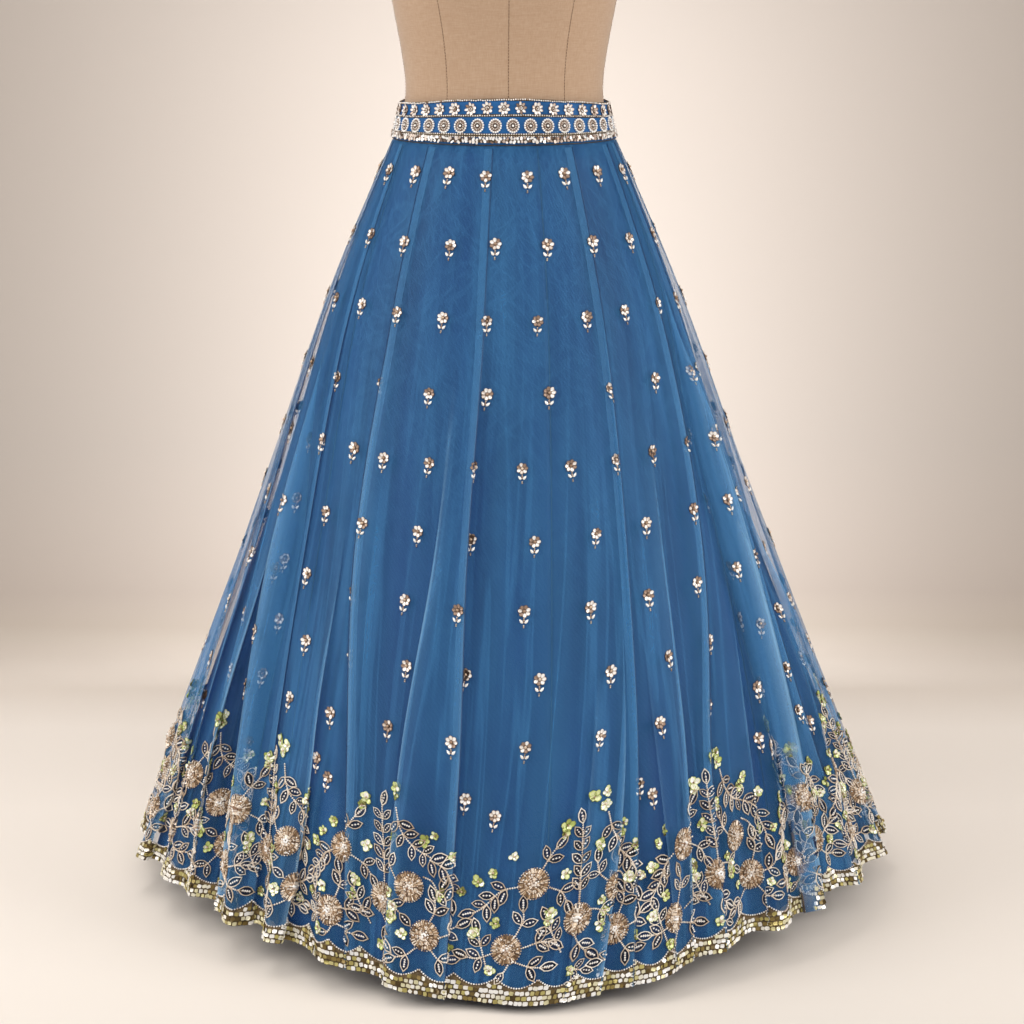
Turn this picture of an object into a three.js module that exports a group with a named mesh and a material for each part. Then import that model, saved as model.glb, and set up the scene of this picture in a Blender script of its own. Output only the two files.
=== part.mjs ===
// A panelled lehenga skirt of embroidered net over a plain lining, gathered into an embroidered
// waistband and shown on a limbless dress form with a pole and a round base.
//
// Millimetres, +Z up. The pieces are worked out round the pole's axis, and at the end the group is
// moved so that the origin lies on the floor under the middle of the whole. The skirt's front
// faces -Y and +X is at the right of someone who looks at that front. Angles go round the skirt in
// degrees: 0 is the middle of the front, 90 is +X, 180 is the middle of the back.
// "drop" is the way down the skirt: 0 where the waistband ends and 1 at the hem.

import * as THREE from "three";

// ---- driving dimensions ----------------------------------------------------------------------
const SEAM_GAP = 0.3; // pieces that are sewn together stay this far apart
const NET = 1.0; // wall of the net panels
const LINING = 1.2; // wall of the lining panels
const BAND = 3; // wall of the waistband, stiffened and embroidered
const BAND_PROUD = 0.8; // the band stands this far outside the net
const BORDER = 1.2; // wall of the sequinned edging on the hem

const BAND_BOTTOM = 954; // height of the seam between band and skirt
const BAND_HEIGHT = 54;
const BAND_SIDE_DIP = 11; // the band's top edge is this much lower at the sides
const BAND_TAPER = { side: 9.5, depth: 7.4 }; // how much each half width shrinks towards its top

const HEM_HEIGHT = 10; // of the hem above the floor at the middle of the front
const HEM_LIFT = 36; // the hem rises by this towards the sides
const HEM_SWING = 10; // the hem hangs this far to +X of the waist
const HEM_PINCH = 0.07; // the hem is this share narrower half way between front and sides
const BORDER_HEIGHT = 26;

// Half widths of the net at the valleys between its folds, one row for each section.
const SKIRT_SECTIONS = [
  { drop: 0.0, side: 136.8, front: 104.8, back: 102.5 },
  { drop: 0.07, side: 166, front: 130, back: 131 },
  { drop: 0.19, side: 213, front: 173, back: 176 },
  { drop: 0.354, side: 268, front: 228, back: 232 },
  { drop: 0.694, side: 376, front: 346, back: 348 },
  { drop: 1.0, side: 470, front: 458, back: 454 },
];

// How far the lining hangs inside the net.
const LINING_GAP = [
  { drop: 0.0, side: NET + 2.5 * SEAM_GAP, front: NET + 2.5 * SEAM_GAP },
  { drop: 0.19, side: 7, front: 4 },
  { drop: 0.5, side: 17, front: 7 },
  { drop: 1.0, side: 22, front: 10 },
];
const LINING_FOLD = 0.45; // the lining's folds are this much of the net's
const LINING_SHORT = 6; // the lining's hem is this much higher than the net's

// Where the threads that meet the hem at one angle start at the waist. The waist holds most of its
// fullness at the sides, so the cloth fans out from there towards the front and the back.
const FALL = [
  { hem: -180, top: -180 },
  { hem: -154, top: -136 },
  { hem: -128, top: -106 },
  { hem: -90, top: -90 },
  { hem: -68, top: -82 },
  { hem: -43, top: -64 },
  { hem: -26, top: -44 },
  { hem: -9, top: -7 },
  { hem: 4, top: 17 },
  { hem: 20, top: 38 },
  { hem: 36, top: 63 },
  { hem: 56, top: 78 },
  { hem: 90, top: 90 },
  { hem: 128, top: 106 },
  { hem: 154, top: 136 },
  { hem: 180, top: 180 },
];

// The large folds, in the order that they go round: where each crest meets the hem, how far it
// stands out there, the drop where it begins, and how far it has drifted round by then.
const FOLDS = [
  { at: -171, out: 17, start: 0.2, drift: 4 },
  { at: -157, out: 24, start: 0.3, drift: -3 },
  { at: -143, out: 18, start: 0.16, drift: 4 },
  { at: -130, out: 25, start: 0.28, drift: -4 },
  { at: -116, out: 19, start: 0.2, drift: 3 },
  { at: -103, out: 23, start: 0.3, drift: -4 },
  { at: -91, out: 16, start: 0.2, drift: 3 },
  { at: -79, out: 20, start: 0.26, drift: -3 },
  { at: -68, out: 15, start: 0.34, drift: 3 },
  { at: -57.5, out: 18, start: 0.24, drift: -4 },
  { at: -47.5, out: 27, start: 0.16, drift: -3 },
  { at: -38.5, out: 20, start: 0.34, drift: 2 },
  { at: -28.5, out: 17, start: 0.2, drift: -4 },
  { at: -15, out: 11, start: 0.16, drift: 5 },
  { at: 3, out: 8, start: 0.3, drift: -2 },
  { at: 21.5, out: 15, start: 0.14, drift: 4 },
  { at: 33.5, out: 13, start: 0.3, drift: -2 },
  { at: 45.5, out: 26, start: 0.18, drift: 3 },
  { at: 57, out: 15, start: 0.34, drift: -3 },
  { at: 68, out: 20, start: 0.24, drift: 4 },
  { at: 80, out: 15, start: 0.2, drift: -3 },
  { at: 92, out: 22, start: 0.3, drift: 4 },
  { at: 105, out: 18, start: 0.22, drift: -3 },
  { at: 118, out: 25, start: 0.16, drift: 4 },
  { at: 131, out: 17, start: 0.28, drift: -4 },
  { at: 146, out: 24, start: 0.2, drift: 3 },
  { at: 160, out: 19, start: 0.3, drift: -4 },
  { at: 175, out: 22, start: 0.22, drift: 3 },
];
const FOLD_TIGHTNESS = 1.35; // over 1 makes crests narrower than valleys
const FOLD_LEAN = 0.2; // a crest leans round by this much of its height, to and fro in turn

// The angles at the hem of the seams between panels.
const NET_SEAMS = [-172, -136, -102, -70, -45, -26, -9, 20, 36, 66, 102, 140];
const LINING_SEAMS = [-176, -131, -86, -41, 4, 49, 94, 139];

// The dress form, one row for each section: half width, and depth to the front and the back.
const FORM_SECTIONS = [
  { height: 700, side: 118, front: 80, back: 86 },
  { height: 706, side: 134, front: 92, back: 99 },
  { height: 724, side: 147, front: 100, back: 110 },
  { height: 775, side: 160, front: 107, back: 121 },
  { height: 835, side: 160, front: 108, back: 119 },
  { height: 900, side: 148, front: 104, back: 109 },
  { height: 948, side: 133.6, front: 101.6, back: 99.2 },
  { height: 975, side: 129.6, front: 99.3, back: 97 },
  { height: 1004, side: 118.5, front: 92.5, back: 88 },
  { height: 1048, side: 123.7, front: 94, back: 86 },
  { height: 1084, side: 130, front: 99, back: 88 },
  { height: 1120, side: 137.2, front: 107, back: 92 },
  { height: 1160, side: 143, front: 116, back: 96 },
  { height: 1192, side: 146, front: 121, back: 99 },
  { height: 1228, side: 148, front: 115, back: 102 },
  { height: 1268, side: 152, front: 102, back: 103 },
  { height: 1306, side: 160, front: 90, back: 100 },
  { height: 1336, side: 165, front: 79, back: 92 },
  { height: 1356, side: 161, front: 69, back: 83 },
  { height: 1372, side: 145, front: 62, back: 75 },
  { height: 1387, side: 116, front: 57, back: 67 },
  { height: 1402, side: 84, front: 53, back: 60 },
  { height: 1421, side: 63, front: 51, back: 55 },
  { height: 1442, side: 57, front: 50, back: 54 },
  { height: 1466, side: 55, front: 49, back: 53 },
];
const BUST = { height: 1190, angle: 28, out: 11, wide: 17, tall: 42 };

// The cap's outline from its foot up: height above the foot, and share of its full half widths.
const CAP = { side: 57, depth: 52 };
const CAP_OUTLINE = [
  { up: 0, share: 1 },
  { up: 9, share: 1 },
  { up: 12.5, share: 0.8 },
  { up: 14, share: 0.45 },
];
const POLE_RADIUS = 14;
const BASE = { radius: 190, height: 14, rim: 5, bevel: 4, hub: 30 };

// ---- grid sizes ------------------------------------------------------------------------------
const NET_GRID = { column: 3.5, down: 10 }; // columns in degrees of the hem
const LINING_GRID = { column: 5, down: 8 };
const BAND_GRID = { across: 48, down: 2 };
const FORM_GRID = 48;

// ---- curves ----------------------------------------------------------------------------------
const radians = THREE.MathUtils.degToRad;
const lerp = THREE.MathUtils.lerp;

// The value of column `name` where column `key` is x, on a smooth curve through the table's rows.
function curveThrough(table, key, name, x) {
  const last = table.length - 1;
  let i = 0;
  while (i < last - 1 && x > table[i + 1][key]) i += 1;
  const slope = (k) => {
    const a = table[Math.max(k - 1, 0)];
    const b = table[Math.min(k + 1, last)];
    return (b[name] - a[name]) / (b[key] - a[key]);
  };
  const [p, q] = [table[i], table[i + 1]];
  const span = q[key] - p[key];
  const s = THREE.MathUtils.clamp((x - p[key]) / span, 0, 1);
  const bend = s * (1 - s) * span;
  return (
    p[name] * (1 + 2 * s) * (1 - s) ** 2 +
    q[name] * (3 - 2 * s) * s ** 2 +
    bend * (slope(i) * (1 - s) - slope(i + 1) * s)
  );
}

// A point of a section with different depths in front and behind, narrowed by `pinch` half way
// between its front, sides and back.
function sectionPoint(angle, height, { side, front, back }, pinch = 0) {
  const a = radians(angle);
  const depth = Math.cos(a) > 0 ? front : back;
  const narrow = 1 - pinch * Math.sin(2 * a) ** 2;
  return new THREE.Vector3(side * Math.sin(a) * narrow, -depth * Math.cos(a) * narrow, height);
}

// ---- the skirt's cloth -----------------------------------------------------------------------
// How far the cloth stands out, and leans round, on the thread that meets the hem at an angle.
function foldAt(hemAngle, drop) {
  const count = FOLDS.length;
  const crestAngle = (k) => {
    const turn = Math.floor(k / count);
    const fold = FOLDS[k - turn * count];
    return fold.at + 360 * turn + fold.drift * (1 - drop);
  };
  let k = -1;
  while (crestAngle(k + 1) <= hemAngle) k += 1;
  const share = (hemAngle - crestAngle(k)) / (crestAngle(k + 1) - crestAngle(k));
  const blend = share * share * (3 - 2 * share);
  const reach = (fold) => fold.out * (Math.max(drop - fold.start, 0) / (1 - fold.start)) ** 1.15;
  const [here, next] = [k, k + 1].map((i) => reach(FOLDS[(i + count) % count]));
  const crest = (0.5 + 0.5 * Math.cos(2 * Math.PI * share)) ** FOLD_TIGHTNESS;
  const side = (i) => (i % 2 === 0 ? 1 : -1);
  return {
    out: lerp(here, next, blend) * crest,
    lean: lerp(here * side(k), next * side(k + 1), blend) * crest * FOLD_LEAN,
  };
}

// Height of the hem at an angle, for cloth that is `short` millimetres shorter than the net.
function hemHeight(hemAngle, short = 0) {
  return HEM_HEIGHT + short + HEM_LIFT * (1 - Math.cos(radians(hemAngle)) ** 8);
}

// A point of a skirt layer. inset and share are the layer's distance inside the net and its share
// of the folds.
function skirtPoint(hemAngle, drop, layer) {
  const angle = lerp(curveThrough(FALL, "hem", "top", hemAngle), hemAngle, drop);
  const size = {};
  for (const name of ["side", "front", "back"])
    size[name] = curveThrough(SKIRT_SECTIONS, "drop", name, drop) - layer.inset(name, drop);
  const height = lerp(BAND_BOTTOM - SEAM_GAP, hemHeight(hemAngle, layer.short), drop);
  const pinch = HEM_PINCH * drop;
  const point = sectionPoint(angle, height, size, pinch);
  const ahead = sectionPoint(angle + 0.5, height, size, pinch);
  const behind = sectionPoint(angle - 0.5, height, size, pinch);
  const along = ahead.sub(behind).normalize();
  const outward = new THREE.Vector3(along.y, -along.x, 0);
  const fold = foldAt(hemAngle, drop);
  point.x += HEM_SWING * drop ** 2;
  return point
    .addScaledVector(outward, fold.out * layer.share)
    .addScaledVector(along, fold.lean * layer.share);
}

const netLayer = { short: 0, share: 1, inset: () => 0 };
const liningLayer = {
  short: LINING_SHORT,
  share: LINING_FOLD,
  inset: (name, drop) =>
    curveThrough(LINING_GAP, "drop", name === "side" ? "side" : "front", drop),
};

// The cloth's outward normal at a point of a layer.
function skirtNormal(hemAngle, drop, layer) {
  const step = 0.25;
  const across = skirtPoint(hemAngle + step, drop, layer).sub(
    skirtPoint(hemAngle - step, drop, layer),
  );
  const down = skirtPoint(hemAngle, drop + 0.01, layer).sub(
    skirtPoint(hemAngle, drop - 0.01, layer),
  );
  return down.cross(across).normalize();
}

// ---- closed solids from grids ----------------------------------------------------------------
// A closed wall between two grids of points, [row][column], with the outer one seen from outside.
// A ring's last column joins its first.
function wallBetween(outer, inner, ring = false) {
  const rows = outer.length;
  const columns = outer[0].length;
  const points = [...outer.flat(), ...inner.flat()];
  const at = (layer, row, column) => layer * rows * columns + row * columns + (column % columns);
  const faces = [];
  const quad = (a, b, c, d) => faces.push(a, b, c, a, c, d);
  const lastColumn = ring ? columns : columns - 1;
  for (let r = 0; r < rows - 1; r += 1)
    for (let c = 0; c < lastColumn; c += 1) {
      quad(at(0, r, c), at(0, r + 1, c), at(0, r + 1, c + 1), at(0, r, c + 1));
      quad(at(1, r, c), at(1, r, c + 1), at(1, r + 1, c + 1), at(1, r + 1, c));
    }
  for (let c = 0; c < lastColumn; c += 1) {
    quad(at(0, 0, c), at(0, 0, c + 1), at(1, 0, c + 1), at(1, 0, c));
    quad(at(0, rows - 1, c), at(1, rows - 1, c), at(1, rows - 1, c + 1), at(0, rows - 1, c + 1));
  }
  if (!ring)
    for (let r = 0; r < rows - 1; r += 1) {
      const c = columns - 1;
      quad(at(0, r, 0), at(1, r, 0), at(1, r + 1, 0), at(0, r + 1, 0));
      quad(at(0, r, c), at(0, r + 1, c), at(1, r + 1, c), at(1, r, c));
    }
  return geometryOf(points, faces);
}

// A closed solid from rings of points, lowest first, with flat caps.
function solidFromRings(rings) {
  const count = rings[0].length;
  const points = rings.flat();
  const faces = [];
  for (let r = 0; r < rings.length - 1; r += 1)
    for (let c = 0; c < count; c += 1) {
      const [a, b] = [r * count + c, r * count + ((c + 1) % count)];
      faces.push(a, b, b + count, a, b + count, a + count);
    }
  const middle = (ring) =>
    ring.reduce((sum, p) => sum.add(p), new THREE.Vector3()).divideScalar(count);
  points.push(middle(rings[0]), middle(rings.at(-1)));
  const [low, high] = [points.length - 2, points.length - 1];
  const top = (rings.length - 1) * count;
  for (let c = 0; c < count; c += 1) {
    const d = (c + 1) % count;
    faces.push(low, d, c, high, top + c, top + d);
  }
  return geometryOf(points, faces);
}

function geometryOf(points, faces) {
  const geometry = new THREE.BufferGeometry().setFromPoints(points);
  geometry.setIndex(faces);
  geometry.computeVertexNormals();
  return geometry;
}

// ---- the pieces ------------------------------------------------------------------------------
// The hem angle at a share of the way across panel k, from its own seam to the next.
function panelAngle(seams, k, share) {
  const from = seams[k];
  const to = k + 1 < seams.length ? seams[k + 1] : seams[0] + 360;
  return lerp(from, to, share);
}

// The hem angle wrapped to the range that the tables cover.
function wrapped(angle) {
  return angle > 180 ? angle - 360 : angle;
}

// A panel of a layer: a wall whose outer face is the layer moved out by `lift`, with its rows of
// points at the drops given.
function panel(seams, k, layer, wall, column, drops, lift = 0) {
  const outer = [];
  const inner = [];
  const across = Math.round((panelAngle(seams, k, 1) - panelAngle(seams, k, 0)) / column);
  for (const drop of drops) {
    const [outerRow, innerRow] = [[], []];
    for (let c = 0; c <= across; c += 1) {
      const angle = wrapped(panelAngle(seams, k, c / across));
      const point = skirtPoint(angle, drop, layer);
      const normal = skirtNormal(angle, drop, layer);
      if (c === 0 || c === across) {
        const along = new THREE.Vector3(-normal.y, normal.x, 0).normalize();
        point.addScaledVector(along, (c === 0 ? SEAM_GAP : -SEAM_GAP) / 2);
      }
      outerRow.push(point.clone().addScaledVector(normal, lift));
      innerRow.push(point.clone().addScaledVector(normal, lift - wall));
    }
    outer.push(outerRow);
    inner.push(innerRow);
  }
  return wallBetween(outer, inner);
}

// The waistband: a stiff ring that widens downwards.
function waistband() {
  const rows = [[], []];
  for (let r = 0; r <= BAND_GRID.down; r += 1) {
    const up = 1 - r / BAND_GRID.down;
    const ring = [[], []];
    for (let c = 0; c < BAND_GRID.across; c += 1) {
      const angle = (360 * c) / BAND_GRID.across;
      const dip = BAND_SIDE_DIP * Math.sin(radians(angle)) ** 2;
      const height = BAND_BOTTOM + up * (BAND_HEIGHT - dip);
      const size = bandSection(up);
      ring[0].push(sectionPoint(angle, height, size));
      ring[1].push(sectionPoint(angle, height, shrunk(size, BAND)));
    }
    rows[0].push(ring[0]);
    rows[1].push(ring[1]);
  }
  return wallBetween(rows[0], rows[1], true);
}

// Half widths of the band's outer face, from 0 at its lower edge to 1 at its upper one.
function bandSection(up) {
  const seam = SKIRT_SECTIONS[0];
  return {
    side: seam.side + BAND_PROUD - BAND_TAPER.side * up,
    front: seam.front + BAND_PROUD - BAND_TAPER.depth * up,
    back: seam.back + BAND_PROUD - BAND_TAPER.depth * up,
  };
}

function shrunk(size, by) {
  return { side: size.side - by, front: size.front - by, back: size.back - by };
}

// The padded torso, from the hip block to the neck.
function torso() {
  const rings = FORM_SECTIONS.map((section) => {
    const ring = [];
    for (let c = 0; c < FORM_GRID; c += 1) {
      const angle = (360 * c) / FORM_GRID;
      const point = sectionPoint(angle, section.height, section);
      const offset = Math.abs(wrapped(angle)) - BUST.angle;
      const rise = (section.height - BUST.height) / BUST.tall;
      const swell = BUST.out * Math.exp(-((offset / BUST.wide) ** 2) - rise ** 2);
      point.y -= swell;
      ring.push(point);
    }
    return ring;
  });
  return solidFromRings(rings);
}

// The domed wooden cap that closes the neck.
function neckCap() {
  const foot = FORM_SECTIONS.at(-1).height + SEAM_GAP;
  const rings = CAP_OUTLINE.map(({ up, share }) => {
    const size = { side: CAP.side * share, front: CAP.depth * share, back: CAP.depth * share };
    return Array.from({ length: FORM_GRID }, (_, c) =>
      sectionPoint((360 * c) / FORM_GRID, foot + up, size),
    );
  });
  return solidFromRings(rings);
}

// A turned solid about +Z from its profile of [radius, height] pairs.
function turned(profile, segments = 48) {
  const points = profile.map(([radius, height]) => new THREE.Vector2(radius, height));
  return new THREE.LatheGeometry(points, segments).rotateX(Math.PI / 2);
}

function pole() {
  const foot = BASE.height + SEAM_GAP;
  const top = FORM_SECTIONS[0].height - SEAM_GAP;
  return turned([[0, foot], [POLE_RADIUS, foot], [POLE_RADIUS, top], [0, top]], 24);
}

// The weighted disc: an upright rim, a bevel, and a top that rises gently to the hub.
function base() {
  const { radius, height, rim, bevel, hub } = BASE;
  const shoulder = [radius - 2 * bevel, rim + bevel];
  return turned([[0, 0], [radius, 0], [radius, rim], shoulder, [hub, height], [0, height]]);
}

// ---- materials and assembly ------------------------------------------------------------------
const finish = (color, roughness, metalness = 0) =>
  new THREE.MeshStandardMaterial({ color, roughness, metalness });
const materials = {
  net: finish(0x6fa6d6, 0.8),
  lining: finish(0x2f5f96, 0.6),
  band: finish(0x2c5f9c, 0.6),
  border: finish(0xb9a878, 0.35, 0.5),
  form: finish(0xc9a888, 0.85),
  cap: finish(0x9a7248, 0.5),
  metal: finish(0xb8b8b8, 0.35, 1),
};

const model = new THREE.Group();
function add(name, geometry, material) {
  const mesh = new THREE.Mesh(geometry, material);
  mesh.name = name;
  model.add(mesh);
}

const evenly = (rows, end) => Array.from({ length: rows + 1 }, (_, r) => (end * r) / rows);
const borderTop = 1 - BORDER_HEIGHT / (BAND_BOTTOM - HEM_HEIGHT);
const netDrops = [...evenly(NET_GRID.down, borderTop), 1];
const liningDrops = evenly(LINING_GRID.down, 1);
const borderDrops = netDrops.slice(-2);
const borderLift = SEAM_GAP + BORDER;

add("waistband", waistband(), materials.band);
NET_SEAMS.forEach((_, k) => {
  const net = panel(NET_SEAMS, k, netLayer, NET, NET_GRID.column, netDrops);
  add(`net_panel_${k + 1}`, net, materials.net);
});
LINING_SEAMS.forEach((_, k) => {
  const plain = panel(LINING_SEAMS, k, liningLayer, LINING, LINING_GRID.column, liningDrops);
  add(`lining_panel_${k + 1}`, plain, materials.lining);
});
NET_SEAMS.forEach((_, k) => {
  const edging = panel(NET_SEAMS, k, netLayer, BORDER, NET_GRID.column, borderDrops, borderLift);
  add(`hem_border_${k + 1}`, edging, materials.border);
});
add("form_torso", torso(), materials.form);
add("form_neck_cap", neckCap(), materials.cap);
add("stand_pole", pole(), materials.metal);
add("stand_base", base(), materials.metal);

const whole = new THREE.Box3().setFromObject(model).getCenter(new THREE.Vector3());
model.position.set(-whole.x, -whole.y, 0);

export default model;
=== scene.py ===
"""A panelled lehenga skirt of embroidered net over a plain lining, on a limbless dress form.

Metres, +Z up, the skirt's front faces -Y. Angles go round the skirt in degrees: 0 is the middle
of the front, 90 is +X, 180 the middle of the back. "drop" is the way down the skirt: 0 at the
waistband's seam and 1 at the hem. The cloth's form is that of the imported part, with the finer
folds, the seams, the stitching and the embroidery that the part leaves out.
"""

import math

import bmesh
import bpy
import numpy as np
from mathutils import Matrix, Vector
from mathutils.bvhtree import BVHTree


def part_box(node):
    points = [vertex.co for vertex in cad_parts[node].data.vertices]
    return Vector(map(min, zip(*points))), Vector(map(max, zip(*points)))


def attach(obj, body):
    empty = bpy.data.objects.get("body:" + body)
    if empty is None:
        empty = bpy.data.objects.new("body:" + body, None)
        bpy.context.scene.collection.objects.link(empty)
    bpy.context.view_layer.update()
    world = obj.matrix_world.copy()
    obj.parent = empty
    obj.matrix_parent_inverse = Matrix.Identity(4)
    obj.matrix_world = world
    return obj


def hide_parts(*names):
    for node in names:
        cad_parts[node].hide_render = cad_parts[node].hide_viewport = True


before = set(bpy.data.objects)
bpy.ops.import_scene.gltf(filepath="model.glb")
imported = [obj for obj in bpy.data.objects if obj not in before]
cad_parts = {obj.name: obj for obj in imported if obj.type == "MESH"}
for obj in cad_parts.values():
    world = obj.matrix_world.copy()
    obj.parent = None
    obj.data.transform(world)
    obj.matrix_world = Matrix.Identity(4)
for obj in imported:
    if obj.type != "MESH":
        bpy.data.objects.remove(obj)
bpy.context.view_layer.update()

MM = 0.001
rng = np.random.default_rng(11)

# ---- where the part stands --------------------------------------------------------------------
pole_low, pole_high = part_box("stand_pole")
AXIS = np.array([(pole_low.x + pole_high.x) / 2, (pole_low.y + pole_high.y) / 2, 0.0])

# ---- the skirt's form, in millimetres round the pole -------------------------------------------
SEAM_GAP = 0.3
BAND_BOTTOM = 954
BAND_HEIGHT = 54
BAND_SIDE_DIP = 11
BAND_PROUD = 0.8
BAND_TAPER_SIDE, BAND_TAPER_DEPTH = 9.5, 7.4
HEM_HEIGHT = 10
HEM_LIFT = 36
HEM_SWING = 10
HEM_PINCH = 0.07
LINING_SHORT = 6
LINING_FOLD = 0.6  # how deep the lining's folds are, as a share of the net's
# drop, then half widths at the side, front and back
SKIRT_SECTIONS = [
    (0.0, 136.8, 104.8, 102.5),
    (0.07, 166, 130, 131),
    (0.19, 213, 173, 176),
    (0.354, 268, 228, 232),
    (0.694, 376, 346, 348),
    (1.0, 470, 458, 454),
]
# drop, then how far the lining hangs inside the net at the side and at the front
LINING_GAP = [(0, 1.75, 1.75), (0.19, 9, 4), (0.5, 21, 7), (0.75, 17, 8), (1, 11, 9)]
# where the threads that meet the hem at one angle start at the waist
FALL = [
    (-180, -180), (-154, -136), (-128, -106), (-90, -90), (-68, -82), (-43, -64), (-26, -44),
    (-9, -7), (4, 17), (20, 38), (36, 63), (56, 78), (90, 90), (128, 106), (154, 136), (180, 180),
]
# the large folds: crest's angle at the hem, height, drop where it starts, drift round by there
FOLDS = [
    (-171, 17, 0.2, 4), (-157, 24, 0.3, -3), (-143, 18, 0.16, 4), (-130, 25, 0.28, -4),
    (-116, 19, 0.2, 3), (-103, 23, 0.42, -4), (-91, 16, 0.42, 3), (-79, 20, 0.38, -3),
    (-68, 15, 0.34, 3), (-57.5, 18, 0.24, -4), (-47.5, 27, 0.16, -3), (-38.5, 20, 0.34, 2),
    (-28.5, 17, 0.2, -4), (-15, 11, 0.16, 5), (3, 8, 0.3, -2), (21.5, 15, 0.14, 4),
    (33.5, 13, 0.3, -2), (45.5, 26, 0.18, 3), (57, 15, 0.34, -3), (68, 20, 0.24, 4),
    (80, 15, 0.38, -3), (92, 22, 0.42, 4), (105, 18, 0.42, -3), (118, 25, 0.16, 4),
    (131, 17, 0.28, -4), (146, 24, 0.2, 3), (160, 19, 0.3, -4), (175, 22, 0.22, 3),
]
FOLD_TIGHTNESS = 1.35
FOLD_GROWTH = 1.15  # power with which a fold deepens down the skirt
FOLD_LEAN = 0.2
HEM_LEVEL = 8  # power with which the hem lifts towards the sides, so that its front is level
# The net's lines, from the left of the back round the front: its angle at the hem and at drops
# 0.75, 0.5 and 0.25, the drop where it starts, how far it stands out, how far it laps over its
# neighbour (towards +angle when positive), and its width in degrees.
PLEATS = [
    (-163, -162, -162, -161, 0.20, 8, 16, 1.9),
    (-151, -151, -150, -149, 0.30, 7, -12, 1.8),
    (-128, -130, -133, -134, 0.15, 9, -22, 2.2),
    (-117, -120, -124, -125, 0.35, 6, 12, 1.7),
    (-109, -111, -115, -116, 0.25, 7, 14, 1.8),
    (-94, -92, -90, -89, 0.58, 8, -16, 1.9),
    (-86, -83, -79, -77, 0.52, 8, -14, 1.8),
    (-77, -74, -70.5, -68.5, 0.38, 7, 9, 1.6),
    (-61, -57.5, -55, -56, 0.42, 9, 14, 1.8),
    (-53, -51.5, -50, -52, 0.26, 14, -32, 2.6),
    (-36.5, -31.5, -29, -31, 0.46, 8, 16, 2.0),
    (-18.5, -16.8, -13.4, -12, 0.25, 6, -10, 1.7),
    (7, 10.5, 13.4, 14, 0.57, 3, -4, 1.6),
    (12.3, 16.2, 17.1, 17.2, 0.55, 6, 11, 1.4),
    (24.5, 21.8, 20.2, 20.5, 0.58, 4, -5, 1.2),
    (28, 27.8, 26.2, 27, 0.30, 4, 5, 1.3),
    (43, 42.5, 43, 41, 0.50, 4, 5, 1.3),
    (55, 54.9, 52.5, 44.6, 0.16, 16, 40, 3.0),
    (80, 76, 63.5, 57, 0.30, 7, 14, 1.8),
    (90, 87, 80, 72, 0.50, 8, 14, 1.8),
    (111, 113, 116, 117, 0.15, 7, -13, 1.8),
    (123, 125, 128, 129, 0.30, 8, 18, 2.0),
    (132, 134, 137, 138, 0.20, 6, -10, 1.6),
    (152, 152, 151, 150, 0.15, 8, -18, 2.0),
    (165, 164, 163, 162, 0.30, 7, 13, 1.8),
]
NET_SEAM_LINES = [
    (-172, -172, -172, -171, 0.1, 4, 5, 1.2),
    (-136, -138, -141, -142, 0.1, 4, -5, 1.2),
    (-102, -104, -108, -108, 0.1, 4, 5, 1.2),
    (-70, -67, -64, -62.5, 0.1, 4, 5, 1.2),
    (-45, -42.5, -40, -41, 0.1, 3, 4, 1.2),
    (-25, -25.2, -26.2, -24.5, 0.1, 5, -6, 1.2),
    (-9.5, -8.8, -9.1, -8.3, 0.1, 5, 6, 1.3),
    (17.3, 18.5, 18.6, 18.7, 0.1, 3, 4, 1.0),
    (33, 32, 36, 37, 0.1, 4, 6, 1.2),
    (67, 64.5, 59.5, 52.5, 0.1, 4, 5, 1.2),
    (102, 104, 107, 107, 0.1, 4, 5, 1.2),
    (140, 142, 145, 146, 0.1, 4, -5, 1.2),
]
NET_LINES = np.array(sorted(PLEATS + NET_SEAM_LINES), float)
NET_SEAMS = [row[0] for row in NET_SEAM_LINES]
PLEAT_RISE = 3.0  # widths over which a pleat rises to its crest, and runs out behind it
PLEAT_STEEP = 0.36  # share of its width in which it falls back under itself
PLEAT_GROWTH = 0.3  # drop over which a pleat grows to its full depth
PLEAT_DIP = 0.22  # how far the net sinks behind a pleat, as a share of its height
DEEP_PLEAT = 12  # from this height a pleat stands over a hollow, where the lining sinks too
DEEP_DIP = 1.6
DEEP_RECOVERY = 1.7  # widths over which such a pleat's net comes out again behind it
HOLLOW_DEPTH, HOLLOW_WIDTH = 34, 2.7
HOLLOW_GROWTH = 0.5  # drop over which such a hollow deepens
PLEAT_FULL = 9.0  # height from which a pleat shows at full strength
# how dense and how pale a pleat's edge, its rise and the net behind it are, and the edge's and rise's
# widths; the paler edge and rise and the darker net behind are partly painted highlight and painted shade
EDGE_DENSE_AND_LIT, RISE_DENSE_AND_LIT, BEHIND_THIN_AND_SHADED = 0.8, 0.3, 0.5
EDGE_WIDTH, RISE_WIDTH, RISE_POWER = 0.17, 1.8, 1.3
# where columns stand across a pleat, in its widths from its crest towards the side it laps over
PLEAT_COLUMNS = (-3, -2.2, -1.5, -0.95, -0.55, -0.28, -0.12, 0, 0.07, 0.14, 0.21, 0.28, 0.36, 0.6, 0.9,
    1.3, 1.7, 2.1, 2.6, 3.3)
SEAM_COLUMNS = (-3, -1.8, -0.9, -0.4, -0.14, 0, 0.09, 0.18, 0.27, 0.36, 0.8, 1.6, 2.6)
COLUMN_STEP = 0.9
COLUMN_ROOM = 0.55  # share of a step that even columns keep from a line's own
COLUMN_LEAST = 0.03  # degrees between columns, at least
LINING_SEAMS = [-176, -131, -86, -41, 4, 49, 94, 139]
NET_ROWS = 80
LINING_COLUMNS = 240
LINING_ROWS = 42


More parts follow.
